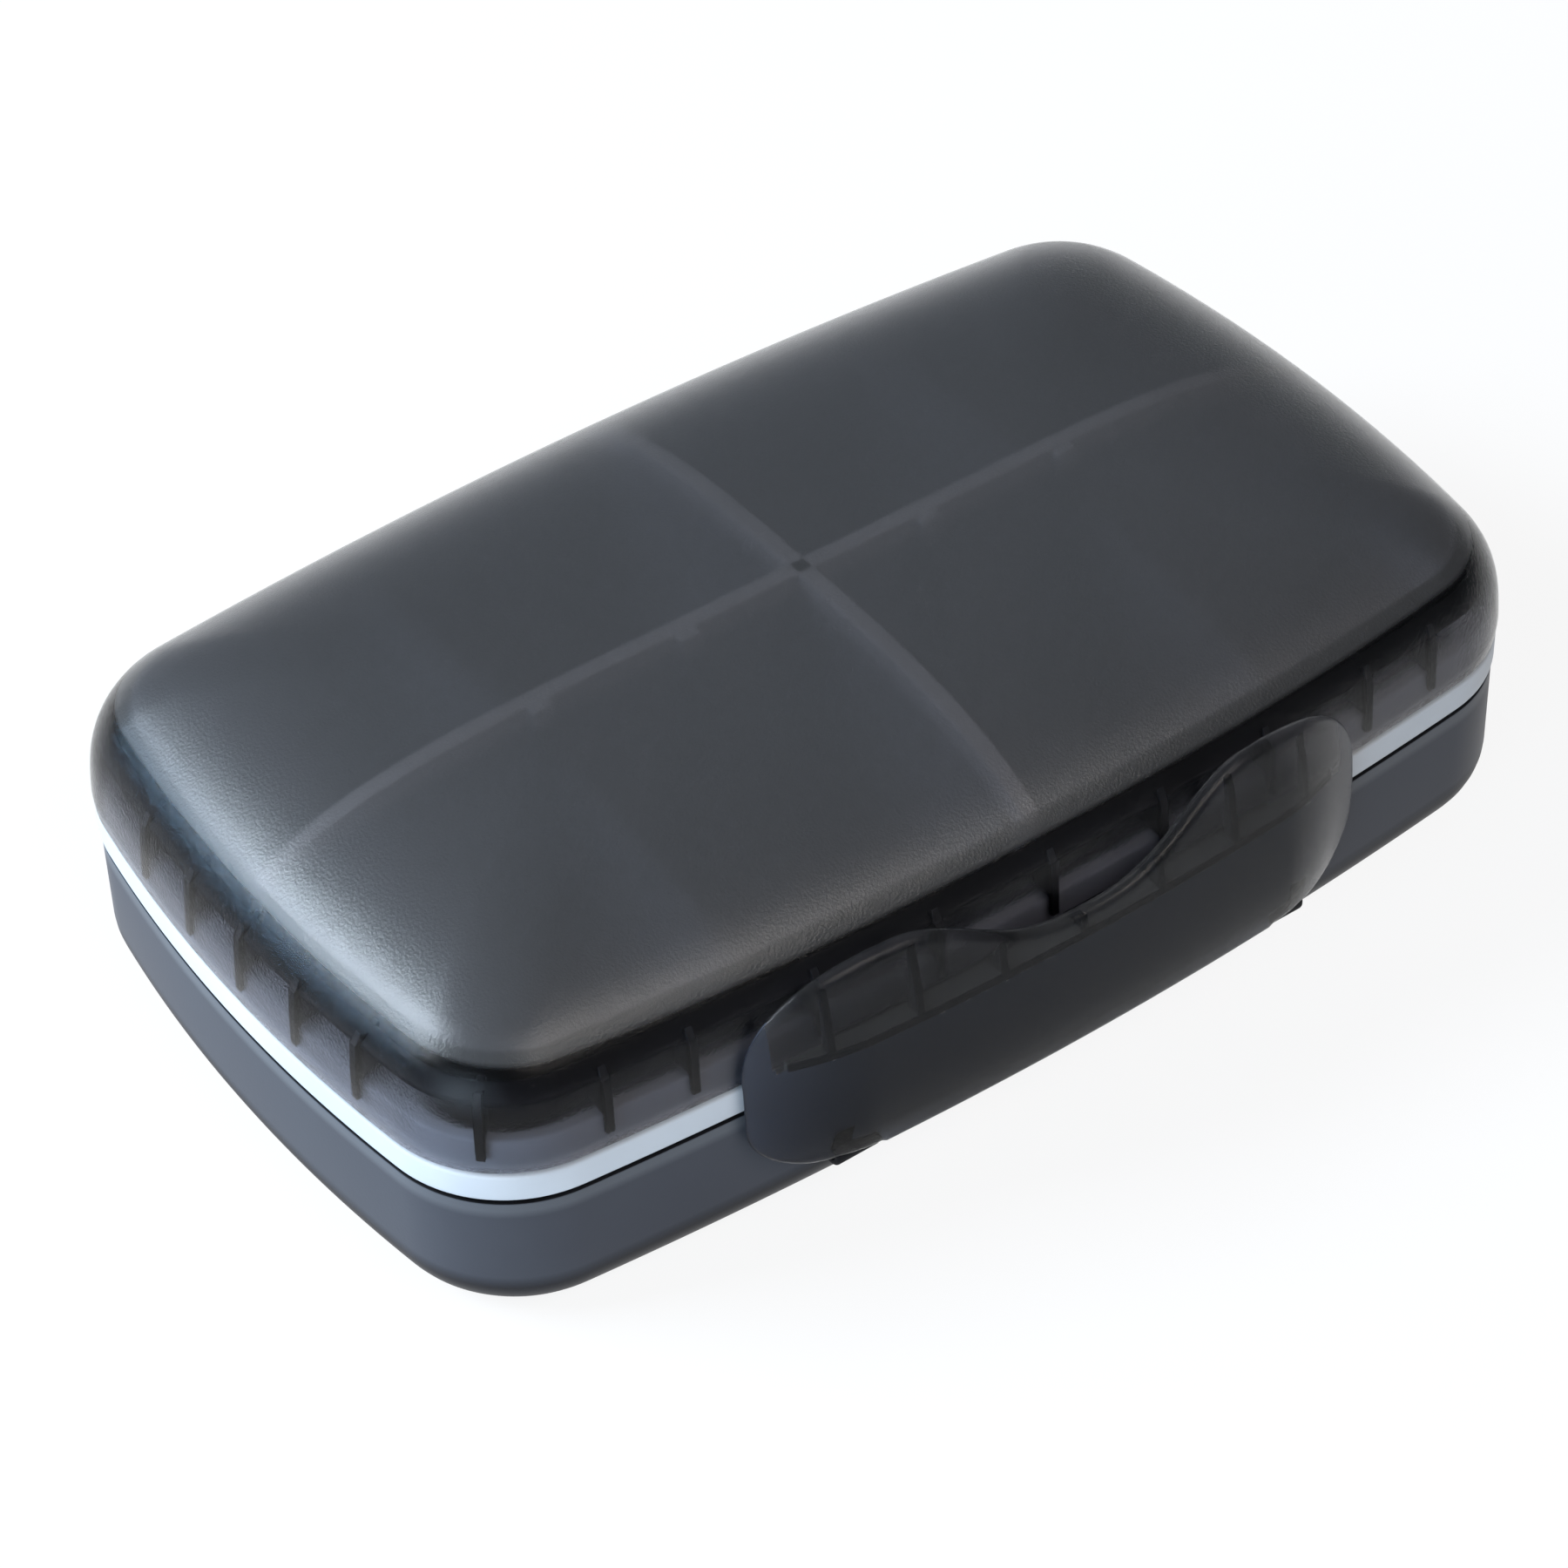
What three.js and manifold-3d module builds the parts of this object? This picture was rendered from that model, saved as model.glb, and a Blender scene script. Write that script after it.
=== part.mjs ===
// A travel pill organizer: a bowed, rounded tray with a domed smoked lid, a soft white seal in the
// lid's channel, a curved pull latch on the front and four loose dividers that make eight cells.
// Millimetres. +X runs along the length, -Y is the latch side, +Z is up. The origin is on the
// table, under the middle of the case.
import * as THREE from "three";
import { mergeVertices } from "three/addons/utils/BufferGeometryUtils.js";
import Module from "manifold-3d";

const wasm = await Module();
wasm.setup();

// Plan of the case: a rounded rectangle whose sides bow outwards
const bodyLength = 120;
const bodyWidth = 72.9;
const longSideBow = 3.9;
const shortSideBow = 4.2;
const cornerRadius = 12.6;
// Past this share of the corner radius the outline shrinks evenly instead of moving in
const evenShrinkFrom = 0.4;

// Base
const baseHeight = 14.3;
const baseWall = 2.05;
const baseDraft = 0.1;
const rimInset = 0.15;
const bottomRound = 5;
const floorThickness = 1.6;
const innerRound = 3.4;

// Seal: a bead that shows all round, and a tongue that stands in the lid's channel
const sealGap = 0.4;
const beadHeight = 2.95;
const beadInset = 0;
const tongueHeight = 2.6;
const seatClearance = 0.3;

// Lid
const skirtWall = 1.5;
const skirtSwell = 0.1;
const channelWidth = 1.7;
const lidInnerWall = 1.2;
const innerWallReach = 1;
const widestAboveSeal = 4.9;
const domeRise = 14.6;
const ceilingThickness = 1.3;
const channelRoof = 9.9;
const channelRoofRise = 1.2;
// Exponents of the dome's section: higher is flatter on top and squarer at the shoulder
const domeFlatness = 2.8;
const domeSquareness = 2.6;
// Where the dome's last ring lies, as a share of the half width, and how its rings crowd outwards
const crownShare = 0.9;
const ringCrowding = 1.6;

// Short ribs across the seal's channel
const tickThickness = 0.8;
const tickPitch = 12;
const ticksEachWay = 3;
const lastTickX = 44;
const sideTickPitch = 8.2;
const sideTickShift = 1.3;
const sideTicksEachWay = 2;
const tickBurial = 0.5;

// Cross rib under the dome, with four small tabs on its front
const ribDepth = 2;
const ribThickness = 1.2;
const ribSideDepth = 1.2;
const ribFoot = 6.3;
const tabWidth = 2.1;
const tabReach = 1;

// Cells
const cellWall = 1.3;
const wallTopClearance = 0.5;
const wallEndInset = 7.2;
const innerSlotX = 12.9;
const outerSlotX = 28.1;
const dividerThickness = 1;
const dividerDrop = 5;
const dividerEndInset = 6;
const slotClearance = 0.3;
const guideThickness = 0.6;
const guideReach = 1.2;
const insertClearance = 0.3;

// Rear hinge
const hingeSetback = 3;
const hingeAboveSeal = 1.5;
const knuckleRadius = 2.4;
const lidKnuckleLength = 32;
const baseKnuckleLength = 8;
const knuckleGap = 0.3;
const hingePinRadius = 0.8;
const pinClearance = 0.25;
const pinEndGap = 0.3;
const lidWebHeight = 4;
const baseWebHeight = 6;
// Where a web meets its knuckle or barrel, as a share of the radius, and how deep its root is buried
const webShoulder = 0.9;
const barrelWebShoulder = 0.6;
const lidWebShoulder = 0.6;
const webBurial = 1.3;

// Latch plate
const latchWidth = 65.4;
const latchAboveSeal = 13.6;
const latchBelowSeal = 7;
const topCornerLength = 12;
const topCornerHeight = 9.5;
const bottomCornerLength = 6.5;
const bottomCornerHeight = 6;
const latchStandoff = 1.2;
const latchBulge = 3.6;
const latchBulgeSpan = 17;
// The bulge falls off this many times as fast below the seal as it does above it
const lowerBulgeShare = 1.35;
const latchBowRadius = 300;
const latchWall = 1.5;
const latchEndWall = 0.5;
const latchEndCurl = 3;
const latchCurlLength = 10.5;
const curlSharpness = 1.6;
const notchDepth = 5.5;
const notchHalfWidth = 18.5;
const notchRoundness = 1.4;

// Latch hinge, hook and gussets
const latchAxisStandoff = 1.25;
const latchAxisDrop = 7.1;
const barrelRadius = 1.3;
const barrelLength = 41.2;
const lugLength = 4.5;
const lugGap = 0.3;
const latchPinRadius = 0.5;
const lugWebHeight = 3.2;
const lipReach = 0.7;
const lipHeight = 0.8;
const lipLength = 46;
const hookClearance = 0.3;
const ledgeThickness = 1;
const ledgeLength = 58;
const gussetsEachWay = 3;
const gussetPitch = 8.4;
const gussetThickness = 0.8;
const gussetSetback = 0.6;

// Facets
const longSteps = 5;
const cornerSteps = 7;
const shortSteps = 3;
const roundSteps = 20;
const filletSteps = 4;
const shoulderRings = 5;
const domeRings = 6;
const latchColumns = 26;
const latchRows = 10;

// Places that follow from the sizes above
const halfLength = bodyLength / 2;
const halfWidth = bodyWidth / 2;
const longSideRadius = (halfLength ** 2 + longSideBow ** 2) / (2 * longSideBow);
const shortSideRadius = (halfWidth ** 2 + shortSideBow ** 2) / (2 * shortSideBow);
const baseInside = baseDraft + baseWall;
const sealBottom = baseHeight + sealGap;
const beadTop = sealBottom + beadHeight;
const tongueTop = beadTop + tongueHeight;
const skirtBottom = beadTop + seatClearance;
const channelInner = skirtWall + channelWidth;
const lidInside = channelInner + lidInnerWall;
const innerWallBottom = sealBottom - innerWallReach;
const cellShoulder = innerWallBottom - wallTopClearance;
const widestHeight = sealBottom + widestAboveSeal;
const roofHeight = sealBottom + channelRoof;
const crownHeight = widestHeight + domeRise;
const hingeY = halfWidth + hingeSetback;
const hingeZ = sealBottom + hingeAboveSeal;
const latchAxisY = -(halfWidth + latchAxisStandoff);
const latchAxisZ = sealBottom - latchAxisDrop;
const ledgeBottom = skirtBottom + lipHeight + hookClearance;
const knuckleStart = lidKnuckleLength / 2 + knuckleGap;
const knuckleEnd = knuckleStart + baseKnuckleLength;
const lugStart = barrelLength / 2 + lugGap;
const lugEnd = lugStart + lugLength;

// Materials

function plastic(colour, roughness, opacity = 1) {
  const transparent = opacity < 1;
  return new THREE.MeshStandardMaterial({ color: colour, roughness, opacity, transparent });
}

const smokedLid = plastic(0x34363a, 0.38, 0.85);
const smokedBase = plastic(0x3c4046, 0.42, 0.9);
const smokedLatch = plastic(0x2a2c30, 0.4, 0.9);
const clearSmoke = plastic(0x4a4c50, 0.4, 0.8);
const whiteSilicone = plastic(0xd6dde6, 0.65);
const steel = new THREE.MeshStandardMaterial({ color: 0xb8bcc2, roughness: 0.3, metalness: 1 });

// Solids from geometries

function solidOf(geometry) {
  const bare = geometry.index ? geometry.toNonIndexed() : geometry.clone();
  bare.deleteAttribute("normal");
  bare.deleteAttribute("uv");
  const merged = mergeVertices(bare, 1e-4);
  const vertProperties = new Float32Array(merged.attributes.position.array);
  const triVerts = new Uint32Array(merged.index.array);
  return new wasm.Manifold(new wasm.Mesh({ numProp: 3, vertProperties, triVerts }));
}

function meshOf(name, solid, material) {
  const cut = solid.getMesh();
  const positions = new Float32Array(cut.vertProperties);
  const geometry = new THREE.BufferGeometry();
  geometry.setAttribute("position", new THREE.BufferAttribute(positions, 3));
  geometry.setIndex(new THREE.BufferAttribute(new Uint32Array(cut.triVerts), 1));
  const faceted = geometry.toNonIndexed();
  faceted.computeVertexNormals();
  const mesh = new THREE.Mesh(faceted, material);
  mesh.name = name;
  return mesh;
}

const joined = (first, ...rest) => rest.reduce((whole, piece) => whole.add(piece), first);

const axisX = new THREE.Vector3(1, 0, 0);
const axisY = new THREE.Vector3(0, 1, 0);
const axisZ = new THREE.Vector3(0, 0, 1);

// An outline extruded from start to end; the three axes say where its x, y and depth point
function extruded(points, start, end, xAxis, yAxis, depthAxis) {
  const shape = new THREE.Shape(points.map(([u, v]) => new THREE.Vector2(u, v)));
  const depth = end - start;
  const geometry = new THREE.ExtrudeGeometry(shape, { depth, bevelEnabled: false, steps: 1 });
  geometry.translate(0, 0, start);
  geometry.applyMatrix4(new THREE.Matrix4().makeBasis(xAxis, yAxis, depthAxis));
  return solidOf(geometry);
}

// An outline of [y, z] points that runs along x, and one of [x, y] points that runs up
const alongLength = (points, x0, x1) => extruded(points, x0, x1, axisY, axisZ, axisX);
const upright = (points, z0, z1) => extruded(points, z0, z1, axisX, axisY, axisZ);

function rod(radius, x0, x1, y, z) {
  const geometry = new THREE.CylinderGeometry(radius, radius, x1 - x0, roundSteps);
  geometry.rotateZ(Math.PI / 2);
  geometry.translate((x0 + x1) / 2, y, z);
  return solidOf(geometry);
}

function block([x0, x1], [y0, y1], [z0, z1]) {
  const geometry = new THREE.BoxGeometry(x1 - x0, y1 - y0, z1 - z0);
  geometry.translate((x0 + x1) / 2, (y0 + y1) / 2, (z0 + z1) / 2);
  return solidOf(geometry);
}

// Plan outline

// Centre of the corner's arc, which touches the long side's arc and the short side's arc
function cornerCentre(longCentre, shortCentre) {
  const toLong = longSideRadius - cornerRadius;
  const toShort = shortSideRadius - cornerRadius;
  const between = shortCentre.clone().sub(longCentre);
  const distance = between.length();
  const along = (toLong ** 2 - toShort ** 2 + distance ** 2) / (2 * distance);
  const aside = Math.sqrt(toLong ** 2 - along ** 2);
  const direction = between.divideScalar(distance);
  const normal = new THREE.Vector2(direction.y, -direction.x);
  return longCentre.clone().addScaledVector(direction, along).addScaledVector(normal, aside);
}

const longSideCentre = new THREE.Vector2(0, halfWidth - longSideRadius);
const shortSideCentre = new THREE.Vector2(halfLength - shortSideRadius, 0);
const cornerArcCentre = cornerCentre(longSideCentre, shortSideCentre);

// The quarter at +x +y of the outline moved in by an inset
function quarterOutline(inset) {
  const shortEnd = cornerArcCentre.clone().sub(shortSideCentre).angle();
  const longEnd = cornerArcCentre.clone().sub(longSideCentre).angle();
  const points = [];
  const arc = (centre, radius, from, to, steps) => {
    for (let i = 0; i < steps; i++) {
      const angle = from + ((to - from) * i) / steps;
      points.push([centre.x + radius * Math.cos(angle), centre.y + radius * Math.sin(angle)]);
    }
  };
  arc(shortSideCentre, shortSideRadius - inset, 0, shortEnd, shortSteps);
  arc(cornerArcCentre, cornerRadius - inset, shortEnd, longEnd, cornerSteps);
  arc(longSideCentre, longSideRadius - inset, longEnd, Math.PI / 2, longSteps);
  points.push([0, halfWidth - inset]);
  return points;
}

// All four quarters. Moving in further would close up the corners, so from there on the outline
// shrinks evenly towards a line along the middle of the case.
function outline(inset) {
  const arcInset = Math.min(inset, cornerRadius * evenShrinkFrom);
  const quarter = quarterOutline(arcInset);
  const otherQuarter = [...quarter].reverse().slice(1).map(([x, y]) => [-x, y]);
  const rear = [...quarter, ...otherQuarter];
  const front = [...rear].reverse().slice(1, -1).map(([x, y]) => [x, -y]);
  const reachX = halfLength - arcInset;
  const reachY = halfWidth - arcInset;
  const shrinkY = (halfWidth - inset) / reachY;
  const shrinkX = (halfLength - inset) / reachX;
  return [...rear, ...front].map(([x, y]) => [x * shrinkX, y * shrinkY]);
}

// A solid whose skin runs through rings of the outline; each profile point is [inset, height].
// An open profile is capped flat at both ends, a looped one makes a closed band.
function ringSolid(profile, looped = false) {
  const ringAt = ([inset, z]) => outline(inset).map(([x, y]) => new THREE.Vector3(x, y, z));
  const rings = profile.map(ringAt);
  const triangles = [];
  const bands = looped ? rings.length : rings.length - 1;
  for (let i = 0; i < bands; i++) {
    const low = rings[i];
    const high = rings[(i + 1) % rings.length];
    for (let j = 0; j < low.length; j++) {
      const k = (j + 1) % low.length;
      triangles.push(low[j], low[k], high[k], low[j], high[k], high[j]);
    }
  }
  const cap = (ring, order) => {
    const contour = ring.map((p) => new THREE.Vector2(p.x, p.y));
    for (const face of THREE.ShapeUtils.triangulateShape(contour, [])) {
      triangles.push(...order.map((corner) => ring[face[corner]]));
    }
  };
  if (!looped) {
    cap(rings[0], [0, 2, 1]);
    cap(rings[rings.length - 1], [0, 1, 2]);
  }
  return solidOf(new THREE.BufferGeometry().setFromPoints(triangles));
}

// Points of a quarter round that starts level and ends upright
function fillet([fromInset, fromZ], [toInset, toZ]) {
  return Array.from({ length: filletSteps + 1 }, (_, i) => {
    const angle = ((i / filletSteps) * Math.PI) / 2;
    const across = fromInset + (toInset - fromInset) * Math.sin(angle);
    return [across, fromZ + (toZ - fromZ) * (1 - Math.cos(angle))];
  });
}

// Outside of the dome over an inset from the edge, and the ceiling under it
function domeHeight(inset) {
  const share = 1 - inset / halfWidth;
  return widestHeight + domeRise * (1 - share ** domeFlatness) ** (1 / domeSquareness);
}
const ceilingHeight = (inset) => domeHeight(inset) - ceilingThickness;

// Insets of the dome's rings from a first one towards the crown, closer together at the shoulder
function domeInsets(first) {
  const run = halfWidth * crownShare - first;
  const shares = Array.from({ length: domeRings + 1 }, (_, i) => (i / domeRings) ** ringCrowding);
  return shares.map((share) => first + run * share);
}

// The room inside the closed case: the tray's hollow, then inset ends, then the dome less a drop.
// A negative gap reaches into the tray's skin instead, so that what fills it grows out of the tray.
function innerRoom(gap, endInset, drop) {
  return ringSolid([
    ...fillet(
      [baseInside + innerRound, floorThickness + gap],
      [baseInside + gap, floorThickness + innerRound],
    ),
    [baseInside + gap, cellShoulder],
    [endInset, cellShoulder],
    ...domeInsets(endInset).map((inset) => [inset, ceilingHeight(inset) - drop]),
  ]);
}

// A wall's y on the front of the case, at a station along its length and an outward offset
function frontY(x, outward) {
  const radius = longSideRadius + outward;
  return longSideRadius - halfWidth - Math.sqrt(radius ** 2 - x ** 2);
}

// Base

function trayShell() {
  return ringSolid([
    ...fillet([baseDraft + bottomRound, 0], [baseDraft, bottomRound]),
    [rimInset, baseHeight],
    [baseInside, baseHeight],
    ...fillet(
      [baseInside + innerRound, floorThickness],
      [baseInside, floorThickness + innerRound],
    ).reverse(),
  ]);
}


// Two ribs with a slot between them, as spans along the length
function guideSpans(x) {
  const slot = dividerThickness / 2 + slotClearance;
  return [
    [x - slot - guideThickness, x - slot],
    [x + slot, x + slot + guideThickness],
  ];
}

const slotStations = [-outerSlotX, -innerSlotX, innerSlotX, outerSlotX];

// A cross of two walls, with guide ribs on both faces of the lengthwise one. It stands in the tray
// and its walls end just short of the floor, the sides and the lid's rib.
function cellWalls() {
  const wall = [-cellWall / 2, cellWall / 2];
  const height = [0, crownHeight];
  const lengthwise = block([-halfLength, halfLength], wall, height);
  const crosswise = block(wall, [-halfWidth, halfWidth], height);
  const reach = cellWall / 2 + guideReach;
  const guides = slotStations
    .flatMap(guideSpans)
    .map((span) => block(span, [-reach, reach], height));
  const room = innerRoom(insertClearance, wallEndInset, ribDepth + wallTopClearance);
  return joined(lengthwise, crosswise, ...guides).intersect(room);
}

// Guide ribs inside both long sides of the tray
function sideGuides() {
  const height = [0, crownHeight];
  const ribs = slotStations
    .flatMap(guideSpans)
    .map((span) => block(span, [-halfWidth, halfWidth], height));
  const besideTray = ringSolid(
    [
      [baseInside / 2, floorThickness / 2],
      [baseInside / 2, cellShoulder],
      [baseInside + guideReach, cellShoulder],
      [baseInside + guideReach, floorThickness / 2],
    ],
    true,
  );
  return joined(...ribs).intersect(besideTray);
}

// Rear knuckles stand off the rear wall on a web whose top stays under the seal
function baseKnuckle(x0, x1) {
  const root = halfWidth - webBurial;
  const top = baseHeight - sealGap;
  const web = [
    [root, top - baseWebHeight],
    [hingeY, hingeZ - knuckleRadius * webShoulder],
    [hingeY, hingeZ],
    [hingeY - knuckleRadius * webShoulder, top],
    [root, top],
  ];
  return rod(knuckleRadius, x0, x1, hingeY, hingeZ).add(alongLength(web, x0, x1));
}

function latchBarrel() {
  const half = barrelLength / 2;
  const root = frontY(half, -webBurial);
  const web = [
    [latchAxisY, latchAxisZ + barrelRadius * webShoulder],
    [latchAxisY, latchAxisZ - barrelRadius * barrelWebShoulder],
    [root, latchAxisZ - barrelRadius * barrelWebShoulder],
    [root, latchAxisZ + barrelRadius],
  ];
  return rod(barrelRadius, -half, half, latchAxisY, latchAxisZ).add(alongLength(web, -half, half));
}

function pinBore(pinRadius, reach, y, z) {
  return rod(pinRadius + pinClearance, -reach, reach, y, z);
}

function baseCase() {
  const outside = joined(
    baseKnuckle(knuckleStart, knuckleEnd),
    baseKnuckle(-knuckleEnd, -knuckleStart),
    latchBarrel(),
  );
  return joined(trayShell(), sideGuides(), outside)
    .subtract(pinBore(hingePinRadius, halfLength, hingeY, hingeZ))
    .subtract(pinBore(latchPinRadius, halfLength, latchAxisY, latchAxisZ));
}

// Dividers

function divider(x, side) {
  const half = dividerThickness / 2;
  const nearEnd = cellWall / 2 + slotClearance;
  const across = side > 0 ? [nearEnd, halfWidth] : [-halfWidth, -nearEnd];
  const plate = block([x - half, x + half], across, [0, crownHeight]);
  return plate.intersect(innerRoom(slotClearance, dividerEndInset, dividerDrop));
}

// Lid

function lidSkin() {
  const domeRingInsets = domeInsets(lidInside);
  const shoulderInsets = [];
  for (let i = 1; i < shoulderRings; i++) shoulderInsets.push(lidInside * (i / shoulderRings) ** 2);
  return ringSolid([
    ...[...domeRingInsets].reverse().map((inset) => [inset, ceilingHeight(inset)]),
    [lidInside, innerWallBottom],
    [channelInner, innerWallBottom],
    [channelInner, roofHeight + channelRoofRise],
    [skirtWall, roofHeight],
    [skirtWall, skirtBottom],
    [0, skirtBottom],
    [-skirtSwell, widestHeight],
    ...[...shoulderInsets, ...domeRingInsets].map((inset) => [inset, domeHeight(inset)]),
  ]);
}

// Short ribs across the channel; the seal's tongue ends just below their feet
function channelTicks() {
  const half = tickThickness / 2;
  const height = [skirtBottom, crownHeight];
  const stations = [-lastTickX, lastTickX];
  for (let i = -ticksEachWay; i <= ticksEachWay; i++) stations.push(i * tickPitch);
  const across = [-halfWidth, halfWidth];
  const crosswise = stations.map((x) => block([x - half, x + half], across, height));
  const lengthwise = [];
  for (let i = -sideTicksEachWay; i <= sideTicksEachWay; i++) {
    const y = i * sideTickPitch - sideTickShift;
    lengthwise.push(block([-halfLength, halfLength], [y - half, y + half], height));
  }
  const sides = [-1, 1];
  const corners = sides.flatMap((sideX) => sides.map((sideY) => cornerPlate(sideX, sideY, half)));
  const foot = tongueTop + seatClearance;
  const outer = skirtWall - tickBurial;
  const inner = channelInner + tickBurial;
  const channel = ringSolid(
    [
      [outer, foot],
      [outer, roofHeight],
      [inner, roofHeight + channelRoofRise],
      [inner, foot],
    ],
    true,
  );
  return joined(...crosswise, ...lengthwise, ...corners).intersect(channel);
}

// An upright plate from a corner arc's centre out through the corner
function cornerPlate(sideX, sideY, half) {
  const angle = Math.PI / 4;
  const along = new THREE.Vector2(sideX * Math.cos(angle), sideY * Math.sin(angle));
  const aside = new THREE.Vector2(-along.y, along.x).multiplyScalar(half);
  const start = new THREE.Vector2(sideX * cornerArcCentre.x, sideY * cornerArcCentre.y);
  const end = start.clone().addScaledVector(along, cornerRadius);
  const points = [
    start.clone().add(aside),
    start.clone().sub(aside),
    end.clone().sub(aside),
    end.clone().add(aside),
  ];
  return upright(points.map((p) => [p.x, p.y]), skirtBottom, crownHeight);
}

// The cross rib hangs from the ceiling and runs a little way down the inner wall
function crossRib() {
  const half = ribThickness / 2;
  const foot = sealBottom + ribFoot;
  const height = [foot, crownHeight];
  const lengthwise = block([-halfLength, halfLength], [-half, half], height);
  const crosswise = block([-half, half], [-halfWidth, halfWidth], height);
  const tabs = slotStations.map((x) =>
    block([x - tabWidth / 2, x + tabWidth / 2], [-half - tabReach, 0], height),
  );
  const buried = ceilingThickness / 2;
  const wallMiddle = lidInside - lidInnerWall / 2;
  const hollowInset = lidInside + ribSideDepth;
  const outerRoom = ringSolid([
    [wallMiddle, foot],
    [wallMiddle, ceilingHeight(wallMiddle)],
    ...domeInsets(lidInside).map((inset) => [inset, ceilingHeight(inset) + buried]),
  ]);
  const innerHollow = ringSolid([
    [hollowInset, foot - ribDepth],
    ...domeInsets(hollowInset).map((inset) => [inset, ceilingHeight(inset) - ribDepth]),
  ]);
  return joined(lengthwise, crosswise, ...tabs).intersect(outerRoom).subtract(innerHollow);
}

function lidKnuckle() {
  const half = lidKnuckleLength / 2;
  const root = halfWidth - skirtWall / 2;
  const web = [
    [root, skirtBottom],
    [hingeY - knuckleRadius * lidWebShoulder, skirtBottom],
    [hingeY, hingeZ],
    [hingeY, hingeZ + knuckleRadius],
    [root, skirtBottom + lidWebHeight],
  ];
  return rod(knuckleRadius, -half, half, hingeY, hingeZ).add(alongLength(web, -half, half));
}

// A lip on the front of the skirt, which the latch's ledge hooks over
function catchLip() {
  const top = skirtBottom + lipHeight;
  const band = ringSolid(
    [
      [-lipReach, skirtBottom],
      [-lipReach, top],
      [skirtWall / 2, top],
      [skirtWall / 2, skirtBottom],
    ],
    true,
  );
  return band.intersect(block([-lipLength / 2, lipLength / 2], [-bodyWidth, 0], [0, crownHeight]));
}

function lidShell() {
  return joined(lidSkin(), channelTicks(), crossRib(), lidKnuckle(), catchLip()).subtract(
    pinBore(hingePinRadius, halfLength, hingeY, hingeZ),
  );
}

// Seal

function sealRing() {
  const tongueOuter = skirtWall + seatClearance;
  const tongueInner = channelInner - seatClearance;
  return ringSolid(
    [
      [beadInset, sealBottom],
      [beadInset, beadTop],
      [tongueOuter, beadTop],
      [tongueOuter, tongueTop],
      [tongueInner, tongueTop],
      [tongueInner, sealBottom],
    ],
    true,
  );
}

// Latch

const latchHalf = latchWidth / 2;

// How far a rounded corner pulls the plate's upper or lower edge in, near the plate's ends
function cornerPull(x, length, height) {
  const past = Math.max(Math.abs(x) - (latchHalf - length), 0) / length;
  return height * (1 - Math.sqrt(Math.max(1 - past ** 2, 0)));
}

function latchTopZ(x) {
  const share = Math.min(Math.abs(x) / notchHalfWidth, 1);
  const notch = notchDepth * (1 - ((1 - Math.cos(Math.PI * share)) / 2) ** notchRoundness);
  return sealBottom + latchAboveSeal - notch - cornerPull(x, topCornerLength, topCornerHeight);
}

function latchBottomZ(x) {
  return sealBottom - latchBelowSeal + cornerPull(x, bottomCornerLength, bottomCornerHeight);
}

// Share of the end curl: none over the middle of the plate, all at its two ends
function curlShare(x) {
  const past = Math.max(Math.abs(x) - (latchHalf - latchCurlLength), 0);
  return (past / latchCurlLength) ** curlSharpness;
}

// The plate's outer face bows along its length, bulges over its height and curls in at its ends
function latchOuterY(x, z) {
  const bow = latchBowRadius - Math.sqrt(latchBowRadius ** 2 - x ** 2);
  const fromBulge = (z - sealBottom) / latchBulgeSpan;
  const falloff = fromBulge > 0 ? 1 : lowerBulgeShare;
  const bulge = latchBulge * (1 - falloff * fromBulge ** 2);
  return -(halfWidth + latchStandoff - bow + bulge - latchEndCurl * curlShare(x));
}

function latchInnerY(x, z) {
  return latchOuterY(x, z) + latchWall + (latchEndWall - latchWall) * curlShare(x);
}

function latchPlate() {
  const columns = [];
  for (let i = 0; i <= latchColumns; i++) {
    const x = latchHalf * Math.sin((Math.PI / 2) * ((2 * i) / latchColumns - 1));
    const column = [];
    for (let j = 0; j <= latchRows; j++) {
      column.push([x, latchBottomZ(x) + ((latchTopZ(x) - latchBottomZ(x)) * j) / latchRows]);
    }
    columns.push(column);
  }
  const faceOf = (depth) => {
    return columns.map((column) => column.map(([x, z]) => new THREE.Vector3(x, depth(x, z), z)));
  };
  const outer = faceOf(latchOuterY);
  const inner = faceOf(latchInnerY);
  const triangles = [];
  const quad = (a, b, c, d) => triangles.push(a, b, c, a, c, d);
  for (let i = 0; i < latchColumns; i++) {
    for (let j = 0; j < latchRows; j++) {
      quad(outer[i][j], outer[i + 1][j], outer[i + 1][j + 1], outer[i][j + 1]);
      quad(inner[i][j], inner[i][j + 1], inner[i + 1][j + 1], inner[i + 1][j]);
    }
    quad(outer[i][0], inner[i][0], inner[i + 1][0], outer[i + 1][0]);
    const top = latchRows;
    quad(outer[i][top], outer[i + 1][top], inner[i + 1][top], inner[i][top]);
  }
  for (let j = 0; j < latchRows; j++) {
    const end = latchColumns;
    quad(outer[0][j], outer[0][j + 1], inner[0][j + 1], inner[0][j]);
    quad(outer[end][j], inner[end][j], inner[end][j + 1], outer[end][j + 1]);
  }
  return solidOf(new THREE.BufferGeometry().setFromPoints(triangles));
}

// Inner edge of the hook ledge, clear of the lid's lip
const hookY = (x) => frontY(x, lipReach + hookClearance);

function hookLedge() {
  const steps = latchColumns / 2;
  const stations = Array.from({ length: steps + 1 }, (_, i) => ledgeLength * (i / steps - 0.5));
  const middleZ = ledgeBottom + ledgeThickness / 2;
  const root = stations.map((x) => [x, latchInnerY(x, middleZ) - latchWall / 3]);
  const tip = [...stations].reverse().map((x) => [x, hookY(x)]);
  return upright([...root, ...tip], ledgeBottom, ledgeBottom + ledgeThickness);
}

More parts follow.
